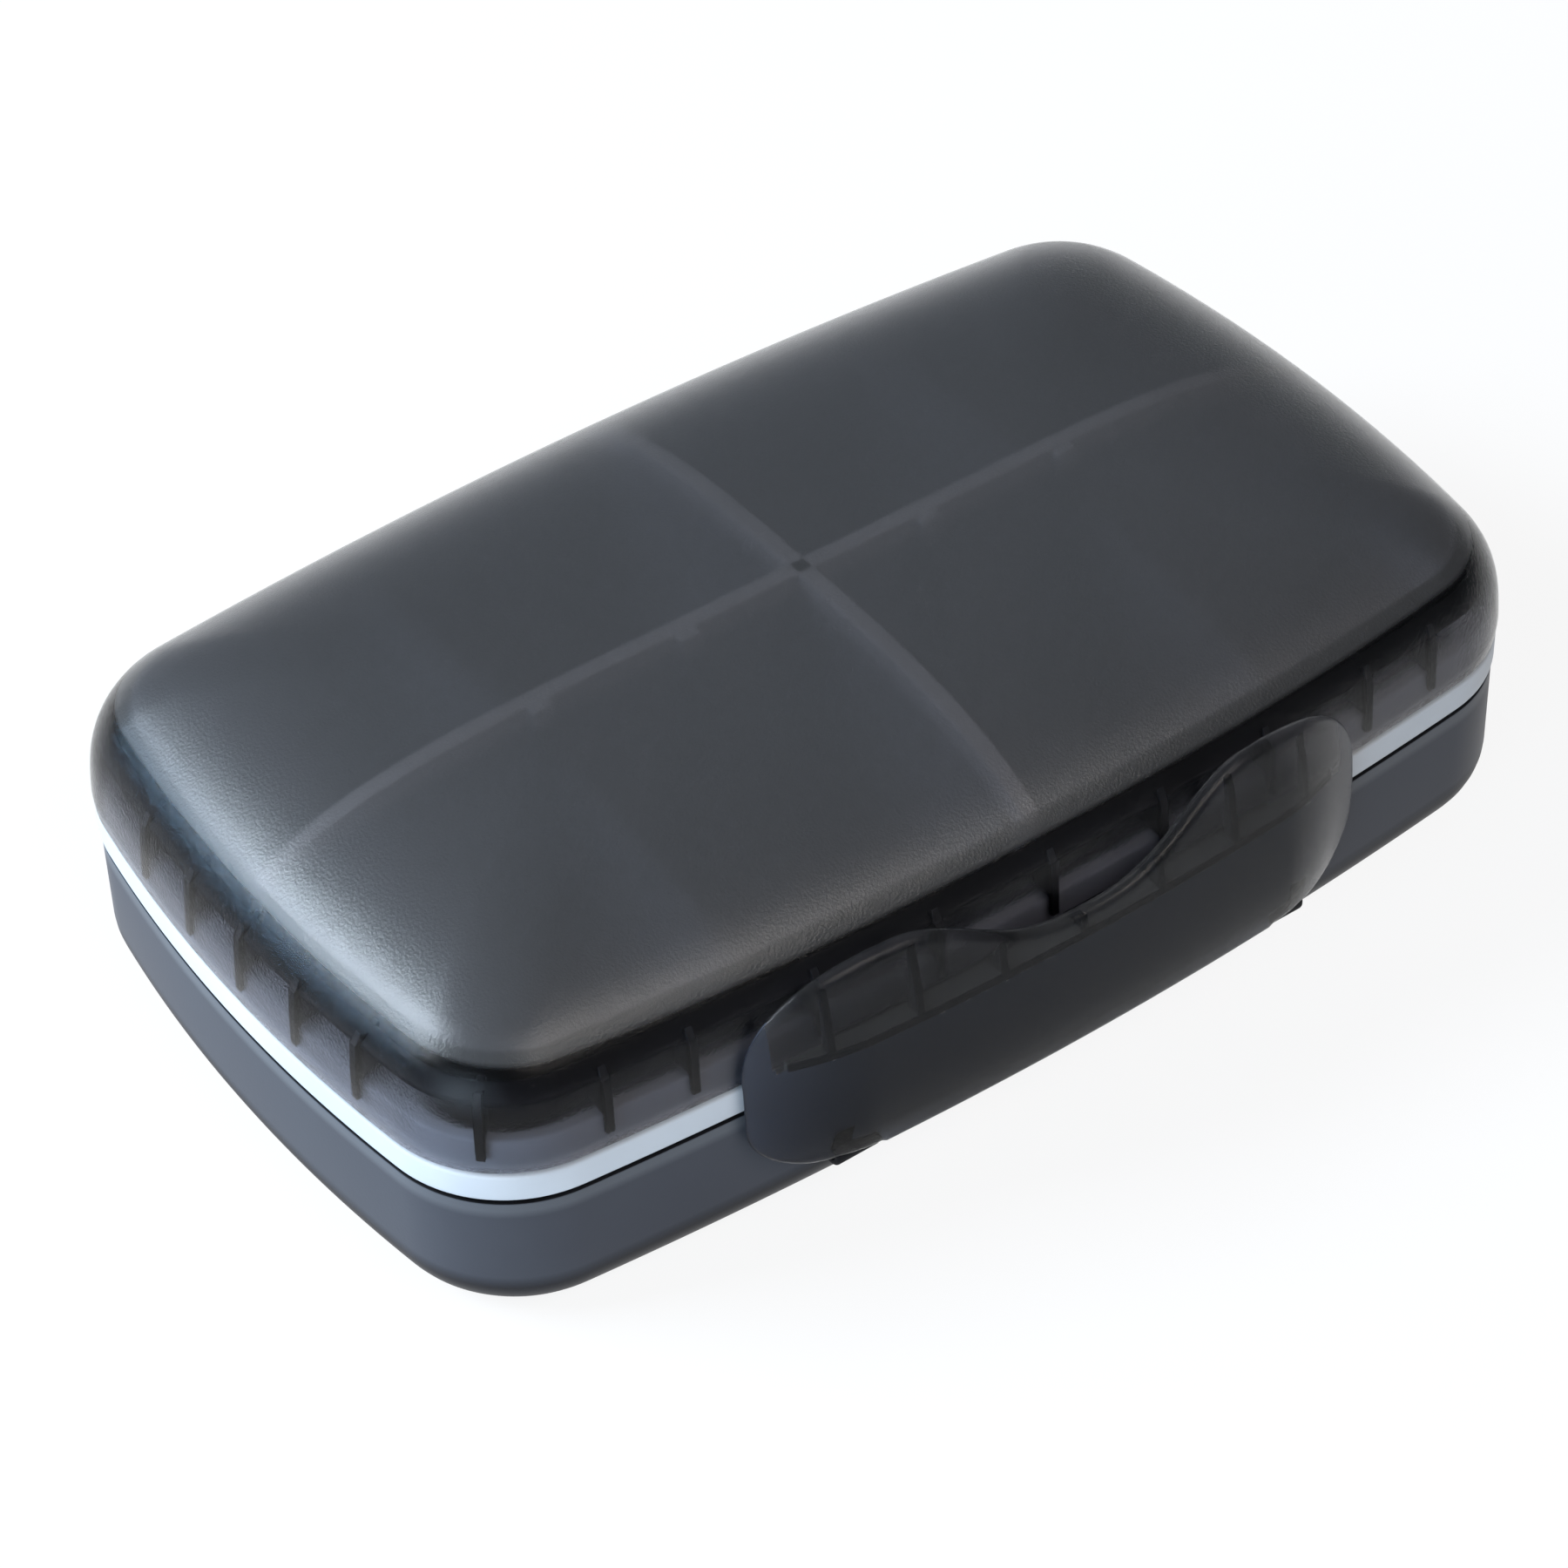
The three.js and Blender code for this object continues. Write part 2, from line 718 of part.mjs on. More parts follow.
// A gusset follows the plate's inner face up from the ledge and dies out below the plate's top
function gusset(x) {
  const foot = ledgeBottom + ledgeThickness / 2;
  const top = latchTopZ(x) - latchWall;
  const steps = filletSteps * 2;
  const rise = top - foot;
  const heights = Array.from({ length: steps + 1 }, (_, i) => foot + (rise * i) / steps);
  const buried = heights.map((z) => [latchInnerY(x, z) - latchWall / 3, z]);
  const footDepth = hookY(x) - gussetSetback - latchInnerY(x, foot);
  const free = heights.map((z) => {
    const depth = footDepth * Math.cos(((z - foot) / rise) * (Math.PI / 2));
    return [latchInnerY(x, z) + depth, z];
  });
  const half = gussetThickness / 2;
  return alongLength([...buried, ...free.reverse()], x - half, x + half);
}

// A lug beside the barrel, on a web that grows out of the plate's inner face. The web's outline is
// the hull of its corners, so it stays whole where the plate's curled end passes the hinge's axis.
function lug(x0, x1) {
  const end = Math.max(Math.abs(x0), Math.abs(x1));
  const foot = latchBottomZ(end);
  const top = latchAxisZ + lugWebHeight;
  const web = [
    [latchAxisY, latchAxisZ + barrelRadius],
    [latchAxisY, latchAxisZ - barrelRadius * webShoulder],
    [latchInnerY(end, foot) - latchWall / 2, foot],
    [latchInnerY(end, top) - latchWall / 2, top],
  ];
  const [outline] = wasm.CrossSection.hull(web).toPolygons();
  return rod(barrelRadius, x0, x1, latchAxisY, latchAxisZ).add(alongLength(outline, x0, x1));
}

function latch() {
  const lugs = [lug(lugStart, lugEnd), lug(-lugEnd, -lugStart)];
  const barrelRoom = rod(barrelRadius + lugGap, -lugStart, lugStart, latchAxisY, latchAxisZ);
  const gussets = [];
  for (let i = -gussetsEachWay; i <= gussetsEachWay; i++) gussets.push(gusset(i * gussetPitch));
  return joined(latchPlate().subtract(barrelRoom), ...lugs, hookLedge(), ...gussets).subtract(
    pinBore(latchPinRadius, lugEnd, latchAxisY, latchAxisZ),
  );
}

// Assembly

const hingePin = rod(
  hingePinRadius,
  pinEndGap - knuckleEnd,
  knuckleEnd - pinEndGap,
  hingeY,
  hingeZ,
);
const latchPin = rod(
  latchPinRadius,
  pinEndGap - lugEnd,
  lugEnd - pinEndGap,
  latchAxisY,
  latchAxisZ,
);

const organizer = new THREE.Group();

organizer.add(
  meshOf("base_case", baseCase(), smokedBase),
  meshOf("cell_walls", cellWalls(), smokedBase),
  meshOf("lid_shell", lidShell(), smokedLid),
  meshOf("seal_ring", sealRing(), whiteSilicone),
  meshOf("latch", latch(), smokedLatch),
  meshOf("hinge_pin", hingePin, steel),
  meshOf("latch_pin", latchPin, steel),
);

for (const [row, side] of [["front", -1], ["rear", 1]]) {
  for (const [end, hand] of [["left", -1], ["right", 1]]) {
    organizer.add(meshOf(`divider_${row}_${end}`, divider(hand * outerSlotX, side), clearSmoke));
  }
}

export default organizer;
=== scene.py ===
import math

import bmesh
import bpy
import numpy as np
from mathutils import Matrix, Vector


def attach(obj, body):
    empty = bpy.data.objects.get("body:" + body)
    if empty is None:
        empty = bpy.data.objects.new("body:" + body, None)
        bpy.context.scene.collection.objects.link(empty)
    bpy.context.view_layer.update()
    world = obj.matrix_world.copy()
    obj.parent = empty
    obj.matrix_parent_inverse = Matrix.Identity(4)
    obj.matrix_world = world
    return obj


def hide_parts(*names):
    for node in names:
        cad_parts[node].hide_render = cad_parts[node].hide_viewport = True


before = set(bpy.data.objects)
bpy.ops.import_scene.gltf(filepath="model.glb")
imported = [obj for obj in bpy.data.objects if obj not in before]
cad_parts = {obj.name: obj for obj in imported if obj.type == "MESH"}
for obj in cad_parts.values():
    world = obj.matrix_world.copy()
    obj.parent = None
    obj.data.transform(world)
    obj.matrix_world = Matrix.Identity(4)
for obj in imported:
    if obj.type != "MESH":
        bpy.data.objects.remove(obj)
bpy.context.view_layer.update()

MM = 0.001

# Plan of the case: a rounded rectangle whose sides bow outwards
HALF_LENGTH = 60.0
HALF_WIDTH = 36.45
LONG_BOW = 3.9
SHORT_BOW = 4.2
CORNER_RADIUS = 12.6
# Past this share of the corner radius the outline shrinks evenly instead of moving in
EVEN_SHRINK_FROM = 0.4

# Base
BASE_HEIGHT = 14.3
BASE_WALL = 2.05
BASE_DRAFT = 0.1
RIM_INSET = 0.15
BOTTOM_ROUND = 5.0
FLOOR_THICKNESS = 1.6
INNER_ROUND = 3.4
RIM_OUTER_ROUND = 0.2
RIM_INNER_ROUND = 0.45

# Seal: a bead that shows all round, and a tongue that stands in the lid's channel
SEAL_GAP = 0.4
BEAD_HEIGHT = 2.95
BEAD_INSET = 0.0
TONGUE_HEIGHT = 2.6
SEAT_CLEARANCE = 0.3
BEAD_BOTTOM_ROUND = 0.55
BEAD_TOP_ROUND = 0.35
BEAD_STEP_ROUND = 0.2
TONGUE_ROUND = 0.3

# Lid
SKIRT_WALL = 1.5
SKIRT_SWELL = 0.1
SWELL_HEIGHT = 2.8
SKIRT_EDGE_ROUND = 0.35
CHANNEL_ROUND = 0.3
CHANNEL_WIDTH = 1.7
LID_INNER_WALL = 1.2
INNER_WALL_REACH = 1.0
WIDEST_ABOVE_SEAL = 4.9
DOME_RISE = 14.6
CEILING = 1.3
CHANNEL_ROOF = 9.9
CHANNEL_ROOF_RISE = 1.2
# Exponents of the dome's section: higher is flatter on top and squarer at the shoulder
DOME_FLATNESS = 2.8
DOME_SQUARENESS = 2.6
# Where the dome's last ring lies, as a share of the half width
CROWN_SHARE = 0.9
# Where the painted shade inside the lid (near-black faces) begins, and how far endwards it reaches
# full height
DARK_BELOW_ROOF = 0.5
DARK_ABOVE_TONGUE = 0.1
FULL_DARK_SHARE = 0.6
# How much higher the moulded texture starts at the ends than at the middle
TEXTURE_CLIMB = 1.0

# Ticks across the seal's channel
TICK = 0.8
TICK_PITCH = 12.0
TICKS_EACH_WAY = 3
LAST_TICK_X = 44.0
SIDE_TICK_PITCH = 8.2
SIDE_TICK_SHIFT = 1.3
SIDE_TICKS_EACH_WAY = 2
TICK_BURIAL = 0.5
TICK_ON_SKIRT = 0.15
TICK_ABOVE_EDGE = 0.75

# Cross rib and its tabs
RIB_DEPTH = 2.0
RIB = 1.8
RIB_SIDE_DEPTH = 1.2
RIB_FOOT = 6.3
RIB_BURIAL = 0.12
TAB_WIDTH = 2.1
TAB_REACH = 1.0
TAB_BURIAL = 0.1

# Cells
CELL_WALL = 1.3
WALL_TOP_CLEARANCE = 0.5
WALL_END_INSET = 7.2
SLOT_STATIONS = (-28.1, -12.9, 12.9, 28.1)
DIVIDER = 1.0
DIVIDER_DROP = 5.0
DIVIDER_END_INSET = 6.0
SLOT_CLEARANCE = 0.3
GUIDE = 0.6
GUIDE_REACH = 1.2
GUIDE_SLANT = 2.0
INSERT_CLEARANCE = 0.3
# Where the middle of a quarter round lies, as a share of its radius from both ends
MIDWAY = 0.3

# Rear hinge
HINGE_SETBACK = 3.0
HINGE_ABOVE_SEAL = 1.5
KNUCKLE_RADIUS = 2.4
LID_KNUCKLE_HALF = 16.0
BASE_KNUCKLE = (16.3, 24.3)
HINGE_PIN_RADIUS = 0.8
PIN_CLEARANCE = 0.25
PIN_END_GAP = 0.3
LID_WEB_HEIGHT = 4.0
BASE_WEB_HEIGHT = 6.0
# Where a web meets its knuckle or barrel, as a share of the radius, and how deep its root is buried
WEB_SHOULDER = 0.9
LOW_WEB_SHOULDER = 0.6
WEB_BURIAL = 1.3

# Latch plate
LATCH_HALF = 32.7
LATCH_ABOVE_SEAL = 13.6
LATCH_BELOW_SEAL = 7.0
TOP_CORNER = (12.0, 9.5)
BOTTOM_CORNER = (6.5, 6.0)
LATCH_STANDOFF = 1.2
LATCH_BULGE = 3.6
BULGE_SPAN = 17.0
# The bulge falls off this many times as fast below the seal as it does above it
LOWER_BULGE_SHARE = 1.35
LATCH_BOW_RADIUS = 300.0
LATCH_WALL = 1.5
LATCH_END_WALL = 0.5
END_CURL = 3.0
CURL_LENGTH = 10.5
CURL_SHARPNESS = 1.6
NOTCH_DEPTH = 5.5
NOTCH_HALF_WIDTH = 18.5
NOTCH_ROUNDNESS = 1.4
# How far past the ledge's ends the plate's clear part reaches; elsewhere its inner face carries
# painted shade
CLEAR_PAST_LEDGE = 1.2

# Latch hinge, hook and gussets
LATCH_AXIS_STANDOFF = 1.25
LATCH_AXIS_DROP = 7.1
BARREL_RADIUS = 1.3
BARREL_HALF = 20.6
LUG = (20.9, 25.4)
LUG_GAP = 0.3
LUG_WEB_HEIGHT = 3.2
LUG_WEB_INSET = 0.4
LATCH_PIN_RADIUS = 0.5
LIP_REACH = 0.7
LIP_HEIGHT = 0.8
LIP_HALF = 23.0
LIP_ROUNDS = (0.2, 0.3)
LIP_ROOT_RISE = 0.1
HOOK_CLEARANCE = 0.3
LEDGE = 1.0
LEDGE_HALF = 29.0
GUSSET_PITCH = 8.4
GUSSETS_EACH_WAY = 3
GUSSET = 0.8
GUSSET_SETBACK = 0.6
PLATE_BURIAL = 0.1

# Edges: bevels of the walls, the dividers and the thin ribs, and rounds of tubes and pins
WALL_BEVEL = 0.2
CARD_BEVEL = 0.15
THIN_BEVEL = 0.12
TUBE_ROUND = 0.25
PIN_ROUND = 0.15

# Facets
SHORT_SIDE_STEPS = 14
CORNER_STEPS = 26
LONG_SIDE_STEPS = 36
EDGE_STEPS = 4
FILLET_STEPS = 10
END_ROUND_STEPS = 3
TUBE_STEPS = 72
PIN_STEPS = 32
DOME_STEPS = 64
CEILING_STEPS = 40
INNER_WALL_STEPS = 24
WALL_TOP_STEPS = 24
DIVIDER_TOP_STEPS = 30
LIP_STEPS = 60
LEDGE_STEPS = 60
GUSSET_STEPS = 16
LATCH_RIM_POINTS = 600
LATCH_COLUMNS = 151
LATCH_ROWS = 45

# Places that follow from the sizes above
SEAL_BOTTOM = BASE_HEIGHT + SEAL_GAP
BEAD_TOP = SEAL_BOTTOM + BEAD_HEIGHT
TONGUE_TOP = BEAD_TOP + TONGUE_HEIGHT
SKIRT_BOTTOM = BEAD_TOP + SEAT_CLEARANCE
TICK_FOOT = SKIRT_BOTTOM + TICK_ABOVE_EDGE
BASE_INSIDE = BASE_DRAFT + BASE_WALL
CHANNEL_INNER = SKIRT_WALL + CHANNEL_WIDTH
LID_INSIDE = CHANNEL_INNER + LID_INNER_WALL
INNER_WALL_BOTTOM = SEAL_BOTTOM - INNER_WALL_REACH
CELL_SHOULDER = INNER_WALL_BOTTOM - WALL_TOP_CLEARANCE
WIDEST = SEAL_BOTTOM + WIDEST_ABOVE_SEAL
ROOF = SEAL_BOTTOM + CHANNEL_ROOF
DARK_FROM = ROOF - DARK_BELOW_ROOF
DARK_SIDE_FROM = TONGUE_TOP + DARK_ABOVE_TONGUE
HINGE_Y = HALF_WIDTH + HINGE_SETBACK
HINGE_Z = SEAL_BOTTOM + HINGE_ABOVE_SEAL
LATCH_AXIS_Y = -(HALF_WIDTH + LATCH_AXIS_STANDOFF)
LATCH_AXIS_Z = SEAL_BOTTOM - LATCH_AXIS_DROP
LEDGE_BOTTOM = SKIRT_BOTTOM + LIP_HEIGHT + HOOK_CLEARANCE
LONG_RADIUS = (HALF_LENGTH**2 + LONG_BOW**2) / (2 * LONG_BOW)
SHORT_RADIUS = (HALF_WIDTH**2 + SHORT_BOW**2) / (2 * SHORT_BOW)


# Plan outline

SHORT_CENTRE = np.array([HALF_LENGTH - SHORT_RADIUS, 0.0])
LONG_CENTRE = np.array([0.0, HALF_WIDTH - LONG_RADIUS])


def corner_centre():
    """Centre of the corner's arc, which touches the arcs of the long side and the short side."""
    to_long = LONG_RADIUS - CORNER_RADIUS
    to_short = SHORT_RADIUS - CORNER_RADIUS
    between = SHORT_CENTRE - LONG_CENTRE
    distance = np.linalg.norm(between)
    along = (to_long**2 - to_short**2 + distance**2) / (2 * distance)
    aside = math.sqrt(to_long**2 - along**2)
    direction = between / distance
    return LONG_CENTRE + direction * along + np.array([direction[1], -direction[0]]) * aside


CORNER = corner_centre()


def quarter(inset):
    """Points of the outline in the +x +y quarter, moved in by an inset."""
    arc_inset = min(inset, CORNER_RADIUS * EVEN_SHRINK_FROM)
    short_end = math.atan2(*(CORNER - SHORT_CENTRE)[::-1])
    long_end = math.atan2(*(CORNER - LONG_CENTRE)[::-1])
    arcs = (
        (SHORT_CENTRE, SHORT_RADIUS, 0.0, short_end, SHORT_SIDE_STEPS),
        (CORNER, CORNER_RADIUS, short_end, long_end, CORNER_STEPS),
        (LONG_CENTRE, LONG_RADIUS, long_end, math.pi / 2, LONG_SIDE_STEPS),
    )
    points = []
    for centre, radius, start, end, steps in arcs:
        angle = start + (end - start) * np.arange(steps) / steps
        reach = radius - arc_inset
        points.append(np.c_[centre[0] + reach * np.cos(angle), centre[1] + reach * np.sin(angle)])
    points.append([[0.0, HALF_WIDTH - arc_inset]])
    shrink = [
        (HALF_LENGTH - inset) / (HALF_LENGTH - arc_inset),
        (HALF_WIDTH - inset) / (HALF_WIDTH - arc_inset),
    ]
    return np.vstack(points) * shrink


def outline(inset):
    """The whole outline, counter-clockwise from the middle of the +x end."""
    part = quarter(inset)
    rear = np.vstack([part, part[::-1][1:] * [-1, 1]])
    return np.vstack([rear, rear[::-1][1:-1] * [1, -1]])


def wall_y(x, inset):
    """How far from the middle the outline lies at a station along the length."""
    part = quarter(inset)[::-1]
    return float(np.interp(abs(x), part[:, 0], part[:, 1]))


def side_x(y, inset):
    """How far out the short side lies at a station across the width."""
    part = quarter(inset)
    return float(np.interp(abs(y), part[:, 1], part[:, 0]))


def front_y(x, outward):
    """Where a line that lies a way out from the front side's bow passes a station."""
    radius = LONG_RADIUS + outward
    return LONG_RADIUS - HALF_WIDTH - math.sqrt(radius**2 - x**2)


def dome(inset):
    """Height of the lid's outer face over an inset of the outline."""
    share = 1 - np.asarray(inset, float) / HALF_WIDTH
    return WIDEST + DOME_RISE * (1 - share**DOME_FLATNESS) ** (1 / DOME_SQUARENESS)


def ceiling(inset):
    return dome(inset) - CEILING


def dome_insets(first, steps):
    """Insets from a first one to the crown, evenly spread over the turn of the dome's section."""
    def turn(inset):
        return math.acos((1 - inset / HALF_WIDTH) ** (DOME_FLATNESS / 2))
    turns = np.linspace(turn(first), turn(HALF_WIDTH * CROWN_SHARE), steps)
    return HALF_WIDTH * (1 - np.cos(turns) ** (2 / DOME_FLATNESS))


# Sections

def softened(points, radii):
    """A section with rounded corners: radii maps a point's index to how far its round reaches."""
    made = []
    points = [np.array(p, float) for p in points]
    for i, point in enumerate(points):
        if i not in radii:
            made.append(point)
            continue
        before = points[i - 1] - point
        after = points[(i + 1) % len(points)] - point
        start = point + before / np.linalg.norm(before) * radii[i]
        end = point + after / np.linalg.norm(after) * radii[i]
        for t in np.linspace(0, 1, EDGE_STEPS + 1):
            made.append((1 - t) ** 2 * start + 2 * t * (1 - t) * point + t**2 * end)
    return made


def fillet(start, end):
    """A quarter round that starts level and ends upright."""
    angle = np.linspace(0, math.pi / 2, FILLET_STEPS + 1)
    across = start[0] + (end[0] - start[0]) * np.sin(angle)
    height = start[1] + (end[1] - start[1]) * (1 - np.cos(angle))
    return list(np.c_[across, height])


# Meshes: each maker returns points in millimetres and faces

def bands(rings, count, looped=False):
    """Quads between rings of points that follow each other; looped joins the last to the first."""
    faces = []
    for i in range(rings if looped else rings - 1):
        low, high = i * count, (i + 1) % rings * count
        for j in range(count):
            k = (j + 1) % count
            faces.append((low + j, low + k, high + k, high + j))
    return faces


def caps(rings, count):
    """Flat faces over the first and the last ring."""
    last = (rings - 1) * count
    return [tuple(range(count))[::-1], tuple(range(last, last + count))]


def ring_shell(profile, looped=False):
    """Skin through rings of the outline; an open profile is capped flat at both ends."""
    rings = [outline(inset) for inset, _ in profile]
    count = len(rings[0])
    points = [(x, y, z) for ring, (_, z) in zip(rings, profile) for x, y in ring]
    faces = bands(len(rings), count, looped)
    return points, faces if looped else faces + caps(len(rings), count)


def band_marks(profile, chosen):
    """For each face of an open ring shell, which of the piece's materials it takes."""
    spots = outline(profile[0][0])
    marks = []
    for low, high in zip(profile, profile[1:]):
        middle = ((low[0] + high[0]) / 2, (low[1] + high[1]) / 2)
        marks += [chosen(*middle, *spot) for spot in spots]
    return [*marks, chosen(*profile[0], 0.0, 0.0), chosen(*profile[-1], 0.0, 0.0)]


def prism(section, start, end, place):
    """A flat section pushed from start to end; place turns (u, v, depth) into a point."""
    count = len(section)
    points = [place(u, v, start) for u, v in section] + [place(u, v, end) for u, v in section]
    return points, caps(2, count) + bands(2, count)


def along_x(u, v, depth):
    return (depth, u, v)


def along_y(u, v, depth):
    return (u, depth, v)


def along_z(u, v, depth):
    return (u, v, depth)


def ray_exit(section, centre, angle):
    """Where a ray from the centre leaves a section."""
    direction = np.array([math.cos(angle), math.sin(angle)])
    furthest = 0.0
    for a, b in zip(section, section[1:] + section[:1]):
        edge = np.subtract(b, a)
        cross = direction[0] * edge[1] - direction[1] * edge[0]
        if abs(cross) < 1e-9:
            continue
        offset = np.subtract(a, centre)
        reach = (offset[0] * edge[1] - offset[1] * edge[0]) / cross
        along = (offset[0] * direction[1] - offset[1] * direction[0]) / cross
        if -1e-9 <= along <= 1 + 1e-9:
            furthest = max(furthest, reach)
    return furthest


def end_rounds(x0, x1, reach):
    """Stations along x, and how far the surface draws in there so that both end edges are round."""
    turn = np.linspace(0, math.pi / 2, END_ROUND_STEPS + 1)
    start = [(x0 + reach * (1 - math.cos(t)), reach * (1 - math.sin(t))) for t in turn]
    end = [(x1 - reach * (1 - math.cos(t)), reach * (1 - math.sin(t))) for t in turn[::-1]]
    return start + end


def loop_about(centre, x, reaches, angles):
    """Points about an axis along x, each at its own reach and angle."""
    return [
        (x, centre[0] + reach * math.cos(angle), centre[1] + reach * math.sin(angle))
        for reach, angle in zip(reaches, angles)
    ]


def bored_tube(centre, radius, bore, x0, x1, web):
    """A tube along x with rounded end edges, a bore, and a web that joins it to a wall."""
    angles = sorted(
        list(np.arange(TUBE_STEPS) * 2 * math.pi / TUBE_STEPS)
        + [math.atan2(v - centre[1], u - centre[0]) % (2 * math.pi) for u, v in web]
    )
    outer = np.array([max(radius, ray_exit(web, centre, angle)) for angle in angles])
    inner = np.full(len(angles), bore)
    loops = [(x0, inner)]
    loops += [(x, outer - pull) for x, pull in end_rounds(x0, x1, TUBE_ROUND)]
    loops += [(x1, inner)]
    points = [point for x, reaches in loops for point in loop_about(centre, x, reaches, angles)]
    return points, bands(len(loops), len(angles), looped=True)


def rod(centre, radius, half_length):
    """A solid pin along x with rounded ends."""
    angles = np.arange(PIN_STEPS) * 2 * math.pi / PIN_STEPS
    points = []
    stations = end_rounds(-half_length, half_length, PIN_ROUND)
    for x, pull in stations:
        points += loop_about(centre, x, [radius - pull] * PIN_STEPS, angles)
    return points, caps(len(stations), PIN_STEPS) + bands(len(stations), PIN_STEPS)


def each_way(count):
    return range(-count, count + 1)


def joined(*parts):
    """One shape out of several, which may overlap."""
    points, faces = [], []
    for more_points, more_faces in parts:
        offset = len(points)
        points += [tuple(p) for p in more_points]
        faces += [tuple(index + offset for index in face) for face in more_faces]
    return points, faces


def piece(name, shape, material, body, replaces=(), sharp=38, bevel=0, others=(), marks=()):
    """A shaded object from points in millimetres, riding on a body.

    Edges past an angle stay sharp or get a bevel. Marks give each face's material: 0 is the main
    one, 1 and up are the others."""
    points, faces = shape
    mesh = bpy.data.meshes.new(name)
    mesh.from_pydata([(x * MM, y * MM, z * MM) for x, y, z in points], [], faces)
    for each in (material, *others):
        mesh.materials.append(each)
    if others:
        mesh.polygons.foreach_set("material_index", [int(mark) for mark in marks])
    work = bmesh.new()
    work.from_mesh(mesh)
    bmesh.ops.remove_doubles(work, verts=work.verts, dist=1e-7)
    bmesh.ops.recalc_face_normals(work, faces=work.faces)
    work.to_mesh(mesh)
    work.free()
    mesh.polygons.foreach_set("use_smooth", [True] * len(mesh.polygons))
    if not bevel:
        mesh.set_sharp_from_angle(angle=math.radians(sharp))
    made = bpy.data.objects.new(name, mesh)
    bpy.context.scene.collection.objects.link(made)
    if bevel:
        edge = made.modifiers.new("edge", "BEVEL")
        edge.width = bevel * MM
        edge.segments = 3
        edge.limit_method = "ANGLE"
        edge.angle_limit = math.radians(sharp)
        edge.harden_normals = True
    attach(made, body)
    if replaces:
        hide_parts(*replaces)
    return made


# Materials

# Grain of the surface: scale per metre, strength, depth in metres
FROST = (3600.0, 0.7, 0.00007)
FINE_GRAIN = (2600.0, 0.25, 0.00003)
SOFT_GRAIN = (1800.0, 0.25, 0.00003)
# Tones up the tray's side, by share of its height: painted shade where it turns under towards the
# floor, and a painted light strip just under the rim, where light from the white seal falls
BASE_PAINTED_SHADE_AND_LIGHT = (
    (0.28, (0.008, 0.009, 0.013)),
    (0.38, (0.050, 0.053, 0.064)),
    (0.88, (0.052, 0.055, 0.066)),
    (0.94, (0.092, 0.097, 0.108)),
    (0.99, (0.092, 0.097, 0.108)),
    (1.0, (0.052, 0.055, 0.066)),
)


def shader(name):
    material = bpy.data.materials.new(name)
    material.use_nodes = True
    material.node_tree.nodes.clear()
    return material, material.node_tree.nodes, material.node_tree.links


def surface(nodes, links, result):
    out = nodes.new("ShaderNodeOutputMaterial")
    links.new(result, out.inputs["Surface"])
    return out


def object_axes(nodes, links):
    """The object's own coordinates, as outputs X, Y and Z."""
    place = nodes.new("ShaderNodeTexCoord")
    split = nodes.new("ShaderNodeSeparateXYZ")
    links.new(place.outputs["Object"], split.inputs["Vector"])
    return split.outputs


def noise(nodes, links, scale, detail, roughness=0.5):
    place = nodes.new("ShaderNodeTexCoord")
    made = nodes.new("ShaderNodeTexNoise")
    made.inputs["Scale"].default_value = scale
    made.inputs["Detail"].default_value = detail
    made.inputs["Roughness"].default_value = roughness
    links.new(place.outputs["Object"], made.inputs["Vector"])
    return made


def ramp(nodes, links, source, low, high, start=0.3, end=0.7):
    made = nodes.new("ShaderNodeMapRange")
    made.inputs["From Min"].default_value = start
    made.inputs["From Max"].default_value = end
    made.inputs["To Min"].default_value = low
    made.inputs["To Max"].default_value = high
    links.new(source, made.inputs["Value"])
    return made.outputs["Result"]


def blend_colour(nodes, links, share, first, second):
    made = nodes.new("ShaderNodeMix")
    made.data_type = "RGBA"
    made.inputs["A"].default_value = (*first, 1)
    made.inputs["B"].default_value = (*second, 1)
    links.new(share, made.inputs["Factor"])
    return made.outputs["Result"]


def grain(nodes, links, bsdf, scale, strength, distance):
    fine = noise(nodes, links, scale, detail=3.0, roughness=0.6)
    bump = nodes.new("ShaderNodeBump")
    bump.inputs["Strength"].default_value = strength
    bump.inputs["Distance"].default_value = distance
    links.new(fine.outputs["Fac"], bump.inputs["Height"])
    links.new(bump.outputs["Normal"], bsdf.inputs["Normal"])
    links.new(bump.outputs["Normal"], bsdf.inputs["Coat Normal"])


def math_node(nodes, links, operation, first, second):
    made = nodes.new("ShaderNodeMath")
    made.operation = operation
    links.new(first, made.inputs[0])
    if isinstance(second, (int, float)):
        made.inputs[1].default_value = second
    else:
        links.new(second, made.inputs[1])
    return made.outputs["Value"]


def texture_share(nodes, links, start, end):
    """0 below the line where the moulded texture starts, 1 above it; it climbs towards the ends."""
    axes = object_axes(nodes, links)
    along = math_node(nodes, links, "MULTIPLY", axes["X"], 1 / (HALF_LENGTH * MM))
    square = math_node(nodes, links, "MULTIPLY", along, along)
    climb = math_node(nodes, links, "MULTIPLY", square, square)
    climb = math_node(nodes, links, "MULTIPLY", climb, TEXTURE_CLIMB * MM)
    height = math_node(nodes, links, "SUBTRACT", axes["Z"], climb)
    return ramp(nodes, links, height, 0.0, 1.0, start * MM, end * MM)


